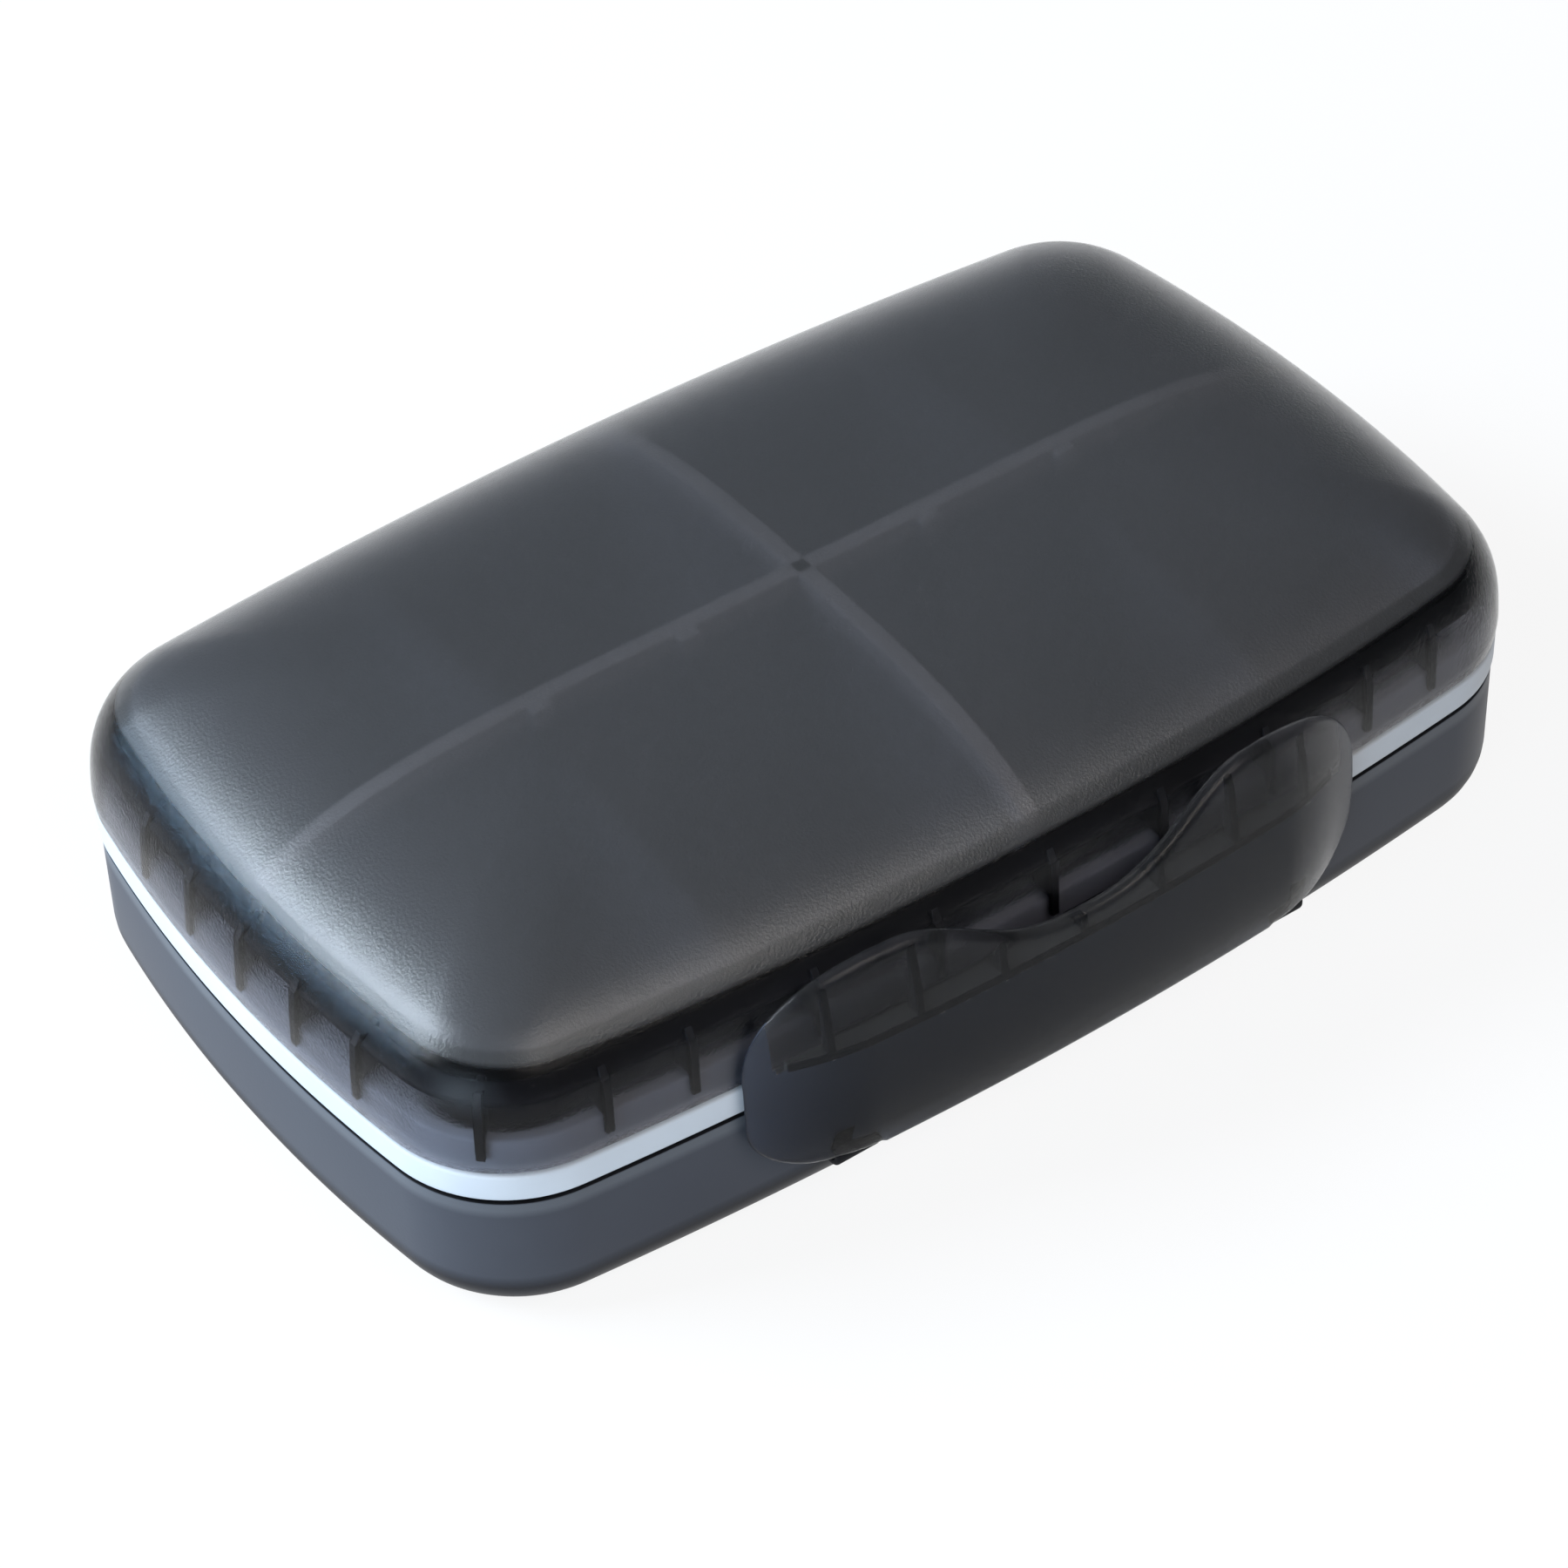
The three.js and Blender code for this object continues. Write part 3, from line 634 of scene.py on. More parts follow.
def smoke_glass(name, tint, density, ior, rough, gloss, haze, coat, line):
    """Smoke plastic: refraction over an absorbing body, which lamps shine through.

    Roughness, haze (the share that the surface scatters) and coat are each given for the polished
    part below a line and for the frosted part above it. The line runs between two heights."""
    material, nodes, links = shader(name)
    bsdf = nodes.new("ShaderNodeBsdfPrincipled")
    bsdf.inputs["Base Color"].default_value = (0.97, 0.96, 0.98, 1)
    bsdf.inputs["IOR"].default_value = ior
    share = texture_share(nodes, links, *line)
    passed = ramp(nodes, links, share, 1 - haze[0], 1 - haze[1], 0.0, 1.0)
    links.new(passed, bsdf.inputs["Transmission Weight"])
    links.new(ramp(nodes, links, share, *coat, 0.0, 1.0), bsdf.inputs["Coat Weight"])
    bsdf.inputs["Coat Roughness"].default_value = gloss
    bsdf.inputs["Coat IOR"].default_value = 1.3
    smudge = noise(nodes, links, 55.0, detail=4.0)
    uneven = ramp(nodes, links, smudge.outputs["Fac"], -0.03, 0.04)
    frosted = ramp(nodes, links, share, *rough, 0.0, 1.0)
    links.new(math_node(nodes, links, "ADD", frosted, uneven), bsdf.inputs["Roughness"])
    grain(nodes, links, bsdf, *FROST)
    clear = nodes.new("ShaderNodeBsdfTransparent")
    path = nodes.new("ShaderNodeLightPath")
    mix = nodes.new("ShaderNodeMixShader")
    links.new(path.outputs["Is Shadow Ray"], mix.inputs["Fac"])
    links.new(bsdf.outputs["BSDF"], mix.inputs[1])
    links.new(clear.outputs["BSDF"], mix.inputs[2])
    out = surface(nodes, links, mix.outputs["Shader"])
    absorb = nodes.new("ShaderNodeVolumeAbsorption")
    absorb.inputs["Color"].default_value = (*tint, 1)
    absorb.inputs["Density"].default_value = density
    links.new(absorb.outputs["Volume"], out.inputs["Volume"])
    return material


def satin(name, colour, other, rough=0.5, specular=0.2, scale=60.0, texture=FINE_GRAIN):
    """Opaque moulded plastic with a slow drift of colour, uneven gloss and a fine grain."""
    material, nodes, links = shader(name)
    bsdf = nodes.new("ShaderNodeBsdfPrincipled")
    drift = noise(nodes, links, scale, detail=4.0)
    share = ramp(nodes, links, drift.outputs["Fac"], 0.0, 1.0)
    links.new(blend_colour(nodes, links, share, colour, other), bsdf.inputs["Base Color"])
    uneven = ramp(nodes, links, drift.outputs["Fac"], rough - 0.04, rough + 0.05)
    links.new(uneven, bsdf.inputs["Roughness"])
    bsdf.inputs["Specular IOR Level"].default_value = specular
    grain(nodes, links, bsdf, *texture)
    surface(nodes, links, bsdf.outputs["BSDF"])
    return material


def slate_base():
    """The tray's plastic: slate, with painted shade low on its side, a painted light strip under
    the rim, and a slow drift over them.
    """
    material, nodes, links = shader("smoked_base")
    bsdf = nodes.new("ShaderNodeBsdfPrincipled")
    rise = ramp(nodes, links, object_axes(nodes, links)["Z"], 0.0, 1.0, 0.0, BASE_HEIGHT * MM)
    # Painted shade low on the side and a painted light strip under the rim, by height
    height = nodes.new("ShaderNodeValToRGB")
    links.new(rise, height.inputs["Fac"])
    stops = height.color_ramp.elements
    for i, (position, colour) in enumerate(BASE_PAINTED_SHADE_AND_LIGHT):
        stop = stops[i] if i < 2 else stops.new(position)
        stop.position, stop.color = position, (*colour, 1)
    drift = noise(nodes, links, 40.0, detail=4.0)
    tone = nodes.new("ShaderNodeMix")
    tone.data_type = "RGBA"
    tone.blend_type = "MULTIPLY"
    tone.inputs["Factor"].default_value = 1.0
    links.new(height.outputs["Color"], tone.inputs["A"])
    share = ramp(nodes, links, drift.outputs["Fac"], 0.0, 1.0)
    shade = blend_colour(nodes, links, share, (0.86, 0.86, 0.88), (1.1, 1.1, 1.08))
    links.new(shade, tone.inputs["B"])
    links.new(tone.outputs["Result"], bsdf.inputs["Base Color"])
    links.new(ramp(nodes, links, drift.outputs["Fac"], 0.36, 0.46), bsdf.inputs["Roughness"])
    bsdf.inputs["Specular IOR Level"].default_value = 0.12
    grain(nodes, links, bsdf, *FINE_GRAIN)
    surface(nodes, links, bsdf.outputs["BSDF"])
    return material


def drawn_steel():
    """Pin wire, with fine lines along its length."""
    material, nodes, links = shader("steel")
    bsdf = nodes.new("ShaderNodeBsdfPrincipled")
    bsdf.inputs["Metallic"].default_value = 1.0
    place = nodes.new("ShaderNodeTexCoord")
    stretch = nodes.new("ShaderNodeMapping")
    stretch.inputs["Scale"].default_value = (60, 4000, 4000)
    links.new(place.outputs["Object"], stretch.inputs["Vector"])
    lines = nodes.new("ShaderNodeTexNoise")
    lines.inputs["Scale"].default_value = 1.0
    links.new(stretch.outputs["Vector"], lines.inputs["Vector"])
    share = ramp(nodes, links, lines.outputs["Fac"], 0.0, 1.0)
    colour = blend_colour(nodes, links, share, (0.45, 0.46, 0.48), (0.62, 0.63, 0.65))
    links.new(colour, bsdf.inputs["Base Color"])
    links.new(ramp(nodes, links, lines.outputs["Fac"], 0.22, 0.4), bsdf.inputs["Roughness"])
    surface(nodes, links, bsdf.outputs["BSDF"])
    return material


LID_SMOKE = smoke_glass(
    "smoked_lid", tint=(0.235, 0.24, 0.285), density=700.0, ior=1.22,
    rough=(0.16, 0.45), gloss=0.17, haze=(0.0, 0.034), coat=(0.42, 1.0), line=(26.8, 27.2),
)
LATCH_SMOKE = smoke_glass(
    "smoked_latch", tint=(0.30, 0.31, 0.33), density=700.0, ior=1.15,
    rough=(0.12, 0.12), gloss=0.2, haze=(0.0, 0.005), coat=(0.09, 0.4), line=(12.0, 22.0),
)
# Lighter than the smoke around it: painted light, for the light that the rib under the ceiling
# catches and scatters
RIB_PLASTIC_AND_PAINTED_LIGHT = satin("lid_rib", (0.12, 0.112, 0.108), (0.15, 0.14, 0.135), specular=0.4)
# Near black: the own colour of the small dark parts, and painted shade where it marks the lid's
# inner rim, the tray's rim under the seal and the ledge's root
DARK_PLASTIC_AND_PAINTED_SHADE = satin("dark_smoke_and_painted_shade", (0.006, 0.006, 0.007), (0.010, 0.010, 0.012), 0.6, specular=0.08)
# Darker than the tray's outside: the inner parts' smoke plastic with painted shade of the closed
# case over it
INNER_PLASTIC_AND_PAINTED_SHADE = satin("smoked_inside_and_painted_shade", (0.030, 0.030, 0.033), (0.042, 0.042, 0.045))
# Near black: the cards' smoke plastic with painted shade of the closed case over it
DIVIDER_PLASTIC_AND_PAINTED_SHADE = satin("clear_smoke", (0.024, 0.024, 0.026), (0.032, 0.032, 0.034))
# Dark: the ledge's plastic, darkened as painted shade from the plate in front of it
LATCH_INSIDE_PAINTED_SHADE = satin("latch_inside_painted_shade", (0.036, 0.036, 0.036), (0.048, 0.048, 0.047))
# Near-black sheet on the plate's inner face below the ledge and at the ends: painted shade behind
# the plate, tinted blue
LATCH_PAINTED_SHADE = satin("latch_painted_shade", (0.032, 0.037, 0.052), (0.040, 0.046, 0.064))
SEAL_SILICONE = satin(
    "silicone", (0.44, 0.462, 0.49), (0.488, 0.508, 0.535),
    specular=0.3, scale=90.0, texture=SOFT_GRAIN,
)
BASE_PLASTIC = slate_base()
STEEL = drawn_steel()


# Base

def tray_profile():
    """The tray's section, from under its floor over the rim to the top of its floor."""
    inner_fillet = fillet(
        (BASE_INSIDE + INNER_ROUND, FLOOR_THICKNESS),
        (BASE_INSIDE, FLOOR_THICKNESS + INNER_ROUND),
    )
    return [
        *fillet((BASE_DRAFT + BOTTOM_ROUND, 0), (BASE_DRAFT, BOTTOM_ROUND)),
        *softened(
            [
                (BASE_DRAFT, BOTTOM_ROUND),
                (RIM_INSET, BASE_HEIGHT),
                (BASE_INSIDE, BASE_HEIGHT),
                (BASE_INSIDE, FLOOR_THICKNESS + INNER_ROUND),
            ],
            {1: RIM_OUTER_ROUND, 2: RIM_INNER_ROUND},
        )[1:-1],
        *inner_fillet[::-1],
    ]


def tray_marks(inset, height, x, y):
    """Second material, the darker inside plastic with painted shade, for the tray's inner skin;
    third, painted shade, for the top of its rim under the seal, where the gap line is dark.
    """
    if inset > BASE_INSIDE - RIM_INNER_ROUND:
        return 1 if height >= FLOOR_THICKNESS else 0
    on_rim = inset > RIM_INSET + RIM_OUTER_ROUND / 4 and height > BASE_HEIGHT - RIM_OUTER_ROUND
    return 2 if on_rim else 0


def under_ceiling(first, drop, steps=CEILING_STEPS):
    """Section points (inset, height) from a first inset to the crown, a drop below the ceiling."""
    return [(inset, float(ceiling(inset)) - drop) for inset in dome_insets(first, steps)]


def wall_section(half_span):
    """A cell wall's outline, clear of the tray's floor and side and of the lid's rib."""
    side_inset = BASE_INSIDE + INSERT_CLEARANCE
    side = [
        *fillet(
            (BASE_INSIDE + INNER_ROUND, FLOOR_THICKNESS + INSERT_CLEARANCE),
            (side_inset, FLOOR_THICKNESS + INNER_ROUND),
        ),
        (side_inset, CELL_SHOULDER),
        (WALL_END_INSET, CELL_SHOULDER),
        *under_ceiling(WALL_END_INSET, RIB_DEPTH + WALL_TOP_CLEARANCE, WALL_TOP_STEPS),
    ]
    right = [(half_span - inset, z) for inset, z in side]
    return right + [(-u, z) for u, z in right[::-1]]


def cell_cross_shape():
    half = CELL_WALL / 2
    return joined(
        prism(wall_section(HALF_LENGTH), -half, half, along_y),
        prism(wall_section(HALF_WIDTH), -half, half, along_x),
    )


def guide_spans():
    """Pairs of ribs beside each divider's slot, as spans along the length."""
    slot = DIVIDER / 2 + SLOT_CLEARANCE
    spans = []
    for x in SLOT_STATIONS:
        spans += [(x - slot - GUIDE, x - slot), (x + slot, x + slot + GUIDE)]
    return spans


def cross_guide_shapes():
    made = []
    reach = CELL_WALL / 2 + GUIDE_REACH
    foot = FLOOR_THICKNESS + INSERT_CLEARANCE
    for low, high in guide_spans():
        inset = min(HALF_LENGTH - abs(low + high) / 2, HALF_WIDTH * CROWN_SHARE)
        top = float(ceiling(inset)) - RIB_DEPTH - WALL_TOP_CLEARANCE
        section = [(-reach, foot), (reach, foot), (reach, top), (-reach, top)]
        made.append(prism(section, low, high, along_x))
    return joined(*made)


def side_guide_shapes():
    made = []
    foot = FLOOR_THICKNESS + INNER_ROUND / 3
    for low, high in guide_spans():
        middle = (low + high) / 2
        for side in (-1, 1):
            outer = side * wall_y(middle, BASE_INSIDE / 2)
            inner = side * wall_y(middle, BASE_INSIDE + GUIDE_REACH)
            section = [
                (inner, foot),
                (outer, foot + GUIDE_SLANT),
                (outer, CELL_SHOULDER),
                (inner, CELL_SHOULDER),
            ]
            made.append(prism(section, low, high, along_x))
    return joined(*made)


def divider_shape(x, side):
    """A loose plate across one side's cells, from the cross to the tray's side wall."""
    low = CELL_WALL / 2 + SLOT_CLEARANCE
    inset = BASE_INSIDE + SLOT_CLEARANCE
    foot = FLOOR_THICKNESS + SLOT_CLEARANCE
    out = wall_y(x, inset)
    section = [
        (low, foot),
        (out - INNER_ROUND, foot),
        (out - INNER_ROUND * MIDWAY, foot + INNER_ROUND * MIDWAY),
        (out, foot + INNER_ROUND),
        (out, CELL_SHOULDER),
        (wall_y(x, DIVIDER_END_INSET), CELL_SHOULDER),
    ]
    for depth, height in under_ceiling(DIVIDER_END_INSET, DIVIDER_DROP, DIVIDER_TOP_STEPS):
        across = wall_y(x, depth)
        if across > low:
            section.append((across, height))
    section.append((low, section[-1][1]))
    section = [(side * u, v) for u, v in section]
    return prism(section, x - DIVIDER / 2, x + DIVIDER / 2, along_x)


# Webs, as outlines across the case: from the wall that carries them to the tube's flank
KNUCKLE_ROOT = HALF_WIDTH - WEB_BURIAL
KNUCKLE_TOP = BASE_HEIGHT - SEAL_GAP
BASE_WEB = [
    (KNUCKLE_ROOT, KNUCKLE_TOP - BASE_WEB_HEIGHT),
    (HINGE_Y, HINGE_Z - KNUCKLE_RADIUS * WEB_SHOULDER),
    (HINGE_Y, HINGE_Z),
    (KNUCKLE_ROOT, KNUCKLE_TOP),
]
BARREL_ROOT = front_y(BARREL_HALF, -WEB_BURIAL)
BARREL_WEB = [
    (LATCH_AXIS_Y, LATCH_AXIS_Z + BARREL_RADIUS * WEB_SHOULDER),
    (LATCH_AXIS_Y, LATCH_AXIS_Z - BARREL_RADIUS * LOW_WEB_SHOULDER),
    (BARREL_ROOT, LATCH_AXIS_Z - BARREL_RADIUS * LOW_WEB_SHOULDER),
    (BARREL_ROOT, LATCH_AXIS_Z + BARREL_RADIUS),
]
LID_WEB_ROOT = HALF_WIDTH - SKIRT_WALL / 2
LID_WEB = [
    (LID_WEB_ROOT, SKIRT_BOTTOM),
    (HINGE_Y - KNUCKLE_RADIUS * LOW_WEB_SHOULDER, SKIRT_BOTTOM),
    (HINGE_Y, HINGE_Z),
    (HINGE_Y, HINGE_Z + KNUCKLE_RADIUS),
    (LID_WEB_ROOT, SKIRT_BOTTOM + LID_WEB_HEIGHT),
]
HINGE_BORE = HINGE_PIN_RADIUS + PIN_CLEARANCE
LATCH_BORE = LATCH_PIN_RADIUS + PIN_CLEARANCE


def hinge_knuckle(x0, x1, web):
    return bored_tube((HINGE_Y, HINGE_Z), KNUCKLE_RADIUS, HINGE_BORE, x0, x1, web)


def latch_tube(x0, x1, web):
    return bored_tube((LATCH_AXIS_Y, LATCH_AXIS_Z), BARREL_RADIUS, LATCH_BORE, x0, x1, web)


tray_rings = tray_profile()
# The inner skin takes the inside plastic with painted shade, and the rim under the seal takes
# painted shade for the gap line
piece(
    "tray", ring_shell(tray_rings), BASE_PLASTIC, "base", ["base_case"],
    others=(INNER_PLASTIC_AND_PAINTED_SHADE, DARK_PLASTIC_AND_PAINTED_SHADE), marks=band_marks(tray_rings, tray_marks),
)
piece(
    "cell_cross", cell_cross_shape(), INNER_PLASTIC_AND_PAINTED_SHADE, "base", ["cell_walls"],
    bevel=WALL_BEVEL,
)
piece(
    "cross_guides", cross_guide_shapes(), INNER_PLASTIC_AND_PAINTED_SHADE, "base", bevel=THIN_BEVEL
)
piece("side_guides", side_guide_shapes(), INNER_PLASTIC_AND_PAINTED_SHADE, "base", bevel=THIN_BEVEL)
piece(
    "rear_knuckles",
    joined(
        hinge_knuckle(BASE_KNUCKLE[0], BASE_KNUCKLE[1], BASE_WEB),
        hinge_knuckle(-BASE_KNUCKLE[1], -BASE_KNUCKLE[0], BASE_WEB),
    ),
    BASE_PLASTIC, "base",
)
piece(
    "latch_barrel", latch_tube(-BARREL_HALF, BARREL_HALF, BARREL_WEB),
    DARK_PLASTIC_AND_PAINTED_SHADE, "base",
)
for row, side in (("front", -1), ("rear", 1)):
    for end, hand in (("left", -1), ("right", 1)):
        piece(
            f"card_{row}_{end}", divider_shape(hand * SLOT_STATIONS[-1], side),
            DIVIDER_PLASTIC_AND_PAINTED_SHADE, "base", [f"divider_{row}_{end}"], bevel=CARD_BEVEL,
        )
piece(
    "hinge_wire", rod((HINGE_Y, HINGE_Z), HINGE_PIN_RADIUS, BASE_KNUCKLE[1] - PIN_END_GAP),
    STEEL, "base", ["hinge_pin"],
)
piece(
    "latch_wire", rod((LATCH_AXIS_Y, LATCH_AXIS_Z), LATCH_PIN_RADIUS, LUG[1] - PIN_END_GAP),
    STEEL, "base", ["latch_pin"],
)


# Lid

def lid_profile():
    """The lid's section, from the ceiling's crown round the skirt to the dome's crown."""
    ceiling_line = under_ceiling(LID_INSIDE, 0.0)[::-1]
    heights = np.linspace(ceiling_line[-1][1], INNER_WALL_BOTTOM, INNER_WALL_STEPS + 1)
    wall_line = [(LID_INSIDE, z) for z in heights[1:-1]]
    section = [
        ceiling_line[-1],
        *wall_line,
        (LID_INSIDE, INNER_WALL_BOTTOM),
        (CHANNEL_INNER, INNER_WALL_BOTTOM),
        (CHANNEL_INNER, DARK_SIDE_FROM),
        (CHANNEL_INNER, DARK_FROM),
        (CHANNEL_INNER, ROOF + CHANNEL_ROOF_RISE),
        (SKIRT_WALL, ROOF),
        (SKIRT_WALL, SKIRT_BOTTOM),
        (0.0, SKIRT_BOTTOM),
        (-SKIRT_SWELL, WIDEST),
    ]
    corner = len(wall_line) + 1
    radii = {corner + i: CHANNEL_ROUND for i in (0, 1, 4, 5, 6)}
    radii[corner + 7] = SKIRT_EDGE_ROUND
    edge = softened(section, radii)
    outer = []
    for inset in dome_insets(0.0005, DOME_STEPS):
        height = float(dome(inset))
        swell = SKIRT_SWELL * max(1 - (height - WIDEST) / SWELL_HEIGHT, 0) ** 2
        outer.append((inset - swell, height))
    return [*ceiling_line[:-1], *edge, *outer[1:]]


def painted_shade_face(inset, height, x, y):
    """Faces inside the lid painted near black as shade, standing in for the dark of the thick smoke
    rim: the channel's roof, its inner side behind the latch, and the inner wall's inner face, which
    is painted dark up to the roof along the front and up to the ceiling at the rear and round the
    ends."""
    tolerance = 0.05
    if dome(max(inset, 0)) - height < CEILING / 2:
        return False
    if SKIRT_WALL - tolerance < inset < CHANNEL_INNER + tolerance and height > DARK_FROM:
        return True
    if abs(inset - CHANNEL_INNER) < tolerance:
        return y < 0 and abs(x) < LATCH_HALF and height > DARK_SIDE_FROM
    if abs(inset - LID_INSIDE) > tolerance:
        return False
    if y > 0 and abs(x) < CORNER[0]:
        return True
    endwards = (abs(x) - CORNER[0]) / (HALF_LENGTH - LID_INSIDE - CORNER[0])
    return height < ROOF + (ceiling(LID_INSIDE) - ROOF) * min(endwards / FULL_DARK_SHARE, 1)


def rib_section(half_span):
    """The cross rib's outline: a band under the ceiling that runs down the inner wall's top."""
    foot = SEAL_BOTTOM + RIB_FOOT
    hollow = LID_INSIDE + RIB_SIDE_DEPTH
    upper = [(LID_INSIDE - RIB_BURIAL, foot), *under_ceiling(LID_INSIDE, -RIB_BURIAL)]
    lower = [(hollow, foot), *under_ceiling(hollow, RIB_DEPTH)]
    right = [(half_span - inset, z) for inset, z in upper]
    back = [(half_span - inset, z) for inset, z in lower]
    mirrored = [(-u, z) for u, z in right[::-1]]
    return right + mirrored + [(-u, z) for u, z in back] + back[::-1]


def rib_shape():
    """The cross under the ceiling, with the small tabs that hold the dividers down."""
    half = RIB / 2
    parts = [
        prism(rib_section(HALF_LENGTH), -half, half, along_y),
        prism(rib_section(HALF_WIDTH), -half, half, along_x),
    ]
    for x in SLOT_STATIONS:
        inset = min(HALF_LENGTH - abs(x), HALF_WIDTH * CROWN_SHARE)
        top = float(ceiling(inset)) + TAB_BURIAL
        section = [
            (x - TAB_WIDTH / 2, top - RIB_DEPTH),
            (x + TAB_WIDTH / 2, top - RIB_DEPTH),
            (x + TAB_WIDTH / 2, top),
            (x - TAB_WIDTH / 2, top),
        ]
        parts.append(prism(section, -half - TAB_REACH, -half / 2, along_y))
    return joined(*parts)


def tick_plate(start, end, foot):
    """An upright rib between two plan points, from its foot up into the channel's roof."""
    start, end = np.array(start), np.array(end)
    along = (end - start) / np.linalg.norm(end - start)
    aside = np.array([-along[1], along[0]]) * TICK / 2
    corners = [(start, foot), (end, foot), (end, ROOF + CHANNEL_ROOF_RISE), (start, ROOF)]
    points = [(*(p - aside), z) for p, z in corners] + [(*(p + aside), z) for p, z in corners]
    faces = [(0, 1, 2, 3), (7, 6, 5, 4)]
    faces += [(j, (j + 1) % 4, (j + 1) % 4 + 4, j + 4)[::-1] for j in range(4)]
    return points, faces


def tick_shapes():
    """Ribs across the channel over the seal's tongue, each with a thin part on down the skirt."""
    spans = (
        (SKIRT_WALL - TICK_BURIAL, CHANNEL_INNER + TICK_BURIAL, TONGUE_TOP + SEAT_CLEARANCE),
        (SKIRT_WALL - TICK_BURIAL, SKIRT_WALL + TICK_ON_SKIRT, TICK_FOOT),
    )
    stations = [i * TICK_PITCH for i in each_way(TICKS_EACH_WAY)]
    diagonal = math.sqrt(0.5)
    made = []
    for outer, inner, foot in spans:
        for x in (-LAST_TICK_X, *stations, LAST_TICK_X):
            far, near = wall_y(x, outer), wall_y(x, inner)
            for side in (-1, 1):
                made.append(tick_plate((x, side * far), (x, side * near), foot))
        for i in each_way(SIDE_TICKS_EACH_WAY):
            y = i * SIDE_TICK_PITCH - SIDE_TICK_SHIFT
            far, near = side_x(y, outer), side_x(y, inner)
            for hand in (-1, 1):
                made.append(tick_plate((hand * far, y), (hand * near, y), foot))
        for hand in (-1, 1):
            for side in (-1, 1):
                centre = CORNER * [hand, side]
                along = np.array([hand, side]) * diagonal
                far, near = CORNER_RADIUS - outer, CORNER_RADIUS - inner
                made.append(tick_plate(centre + along * far, centre + along * near, foot))
    return joined(*made)


def lip_shape():
    """The small lip on the skirt's front, under the latch."""
    section = softened(
        [
            (-LIP_REACH, SKIRT_BOTTOM),
            (-LIP_REACH, SKIRT_BOTTOM + LIP_HEIGHT),
            (SKIRT_WALL / 2, SKIRT_BOTTOM + LIP_HEIGHT),
            (SKIRT_WALL / 2, SKIRT_BOTTOM + LIP_ROOT_RISE),
        ],
        dict(enumerate(LIP_ROUNDS)),
    )
    stations = np.linspace(-LIP_HALF, LIP_HALF, LIP_STEPS + 1)
    count = len(section)
    points = [(x, front_y(x, -inset), z) for x in stations for inset, z in section]
    faces = [tuple(range(count)), tuple(range(len(points) - count, len(points)))[::-1]]
    for i in range(len(stations) - 1):
        for j in range(count):
            k = (j + 1) % count
            faces.append((i * count + j, (i + 1) * count + j, (i + 1) * count + k, i * count + k))
    return points, faces


def seal_shape():
    tongue_outer = SKIRT_WALL + SEAT_CLEARANCE
    tongue_inner = CHANNEL_INNER - SEAT_CLEARANCE
    section = [
        (BEAD_INSET, SEAL_BOTTOM),
        (BEAD_INSET, BEAD_TOP),
        (tongue_outer, BEAD_TOP),
        (tongue_outer, TONGUE_TOP),
        (tongue_inner, TONGUE_TOP),
        (tongue_inner, SEAL_BOTTOM),
    ]
    rounds = (BEAD_BOTTOM_ROUND, BEAD_TOP_ROUND, BEAD_STEP_ROUND, *[TONGUE_ROUND] * 3)
    return ring_shell(softened(section, dict(enumerate(rounds))), looped=True)


lid_rings = lid_profile()
# The near-black faces inside the rim are painted shade
piece(
    "lid_skin", ring_shell(lid_rings), LID_SMOKE, "lid", ["lid_shell"],
    others=(DARK_PLASTIC_AND_PAINTED_SHADE,), marks=band_marks(lid_rings, painted_shade_face),
)
piece("lid_ribs", rib_shape(), RIB_PLASTIC_AND_PAINTED_LIGHT, "lid", bevel=WALL_BEVEL)
piece("lid_ticks", tick_shapes(), DARK_PLASTIC_AND_PAINTED_SHADE, "lid", bevel=THIN_BEVEL)
piece(
    "lid_knuckle", hinge_knuckle(-LID_KNUCKLE_HALF, LID_KNUCKLE_HALF, LID_WEB),
    DARK_PLASTIC_AND_PAINTED_SHADE, "lid",
)
piece("lid_lip", lip_shape(), DARK_PLASTIC_AND_PAINTED_SHADE, "lid")
piece("seal", seal_shape(), SEAL_SILICONE, "lid", ["seal_ring"])


# Latch

def corner_pull(x, length, height):
    """How far an oval corner draws the plate's edge in."""
    past = max(abs(x) - (LATCH_HALF - length), 0) / length
    return height * (1 - math.sqrt(max(1 - past**2, 0)))


def latch_top(x):
    share = min(abs(x) / NOTCH_HALF_WIDTH, 1)
    notch = NOTCH_DEPTH * (1 - ((1 - math.cos(math.pi * share)) / 2) ** NOTCH_ROUNDNESS)
    return SEAL_BOTTOM + LATCH_ABOVE_SEAL - notch - corner_pull(x, *TOP_CORNER)


def latch_bottom(x):
    return SEAL_BOTTOM - LATCH_BELOW_SEAL + corner_pull(x, *BOTTOM_CORNER)


def curl(x):
    """How far the plate's ends have curled in, from 0 to 1."""
    return (max(abs(x) - (LATCH_HALF - CURL_LENGTH), 0) / CURL_LENGTH) ** CURL_SHARPNESS


def latch_outer(x, z):
    bow = LATCH_BOW_RADIUS - math.sqrt(LATCH_BOW_RADIUS**2 - x**2)
    rise = (z - SEAL_BOTTOM) / BULGE_SPAN
    bulge = LATCH_BULGE * (1 - (1 if rise > 0 else LOWER_BULGE_SHARE) * rise**2)
    return -(HALF_WIDTH + LATCH_STANDOFF - bow + bulge - END_CURL * curl(x))


def latch_wall(x):
    return LATCH_WALL + (LATCH_END_WALL - LATCH_WALL) * curl(x)


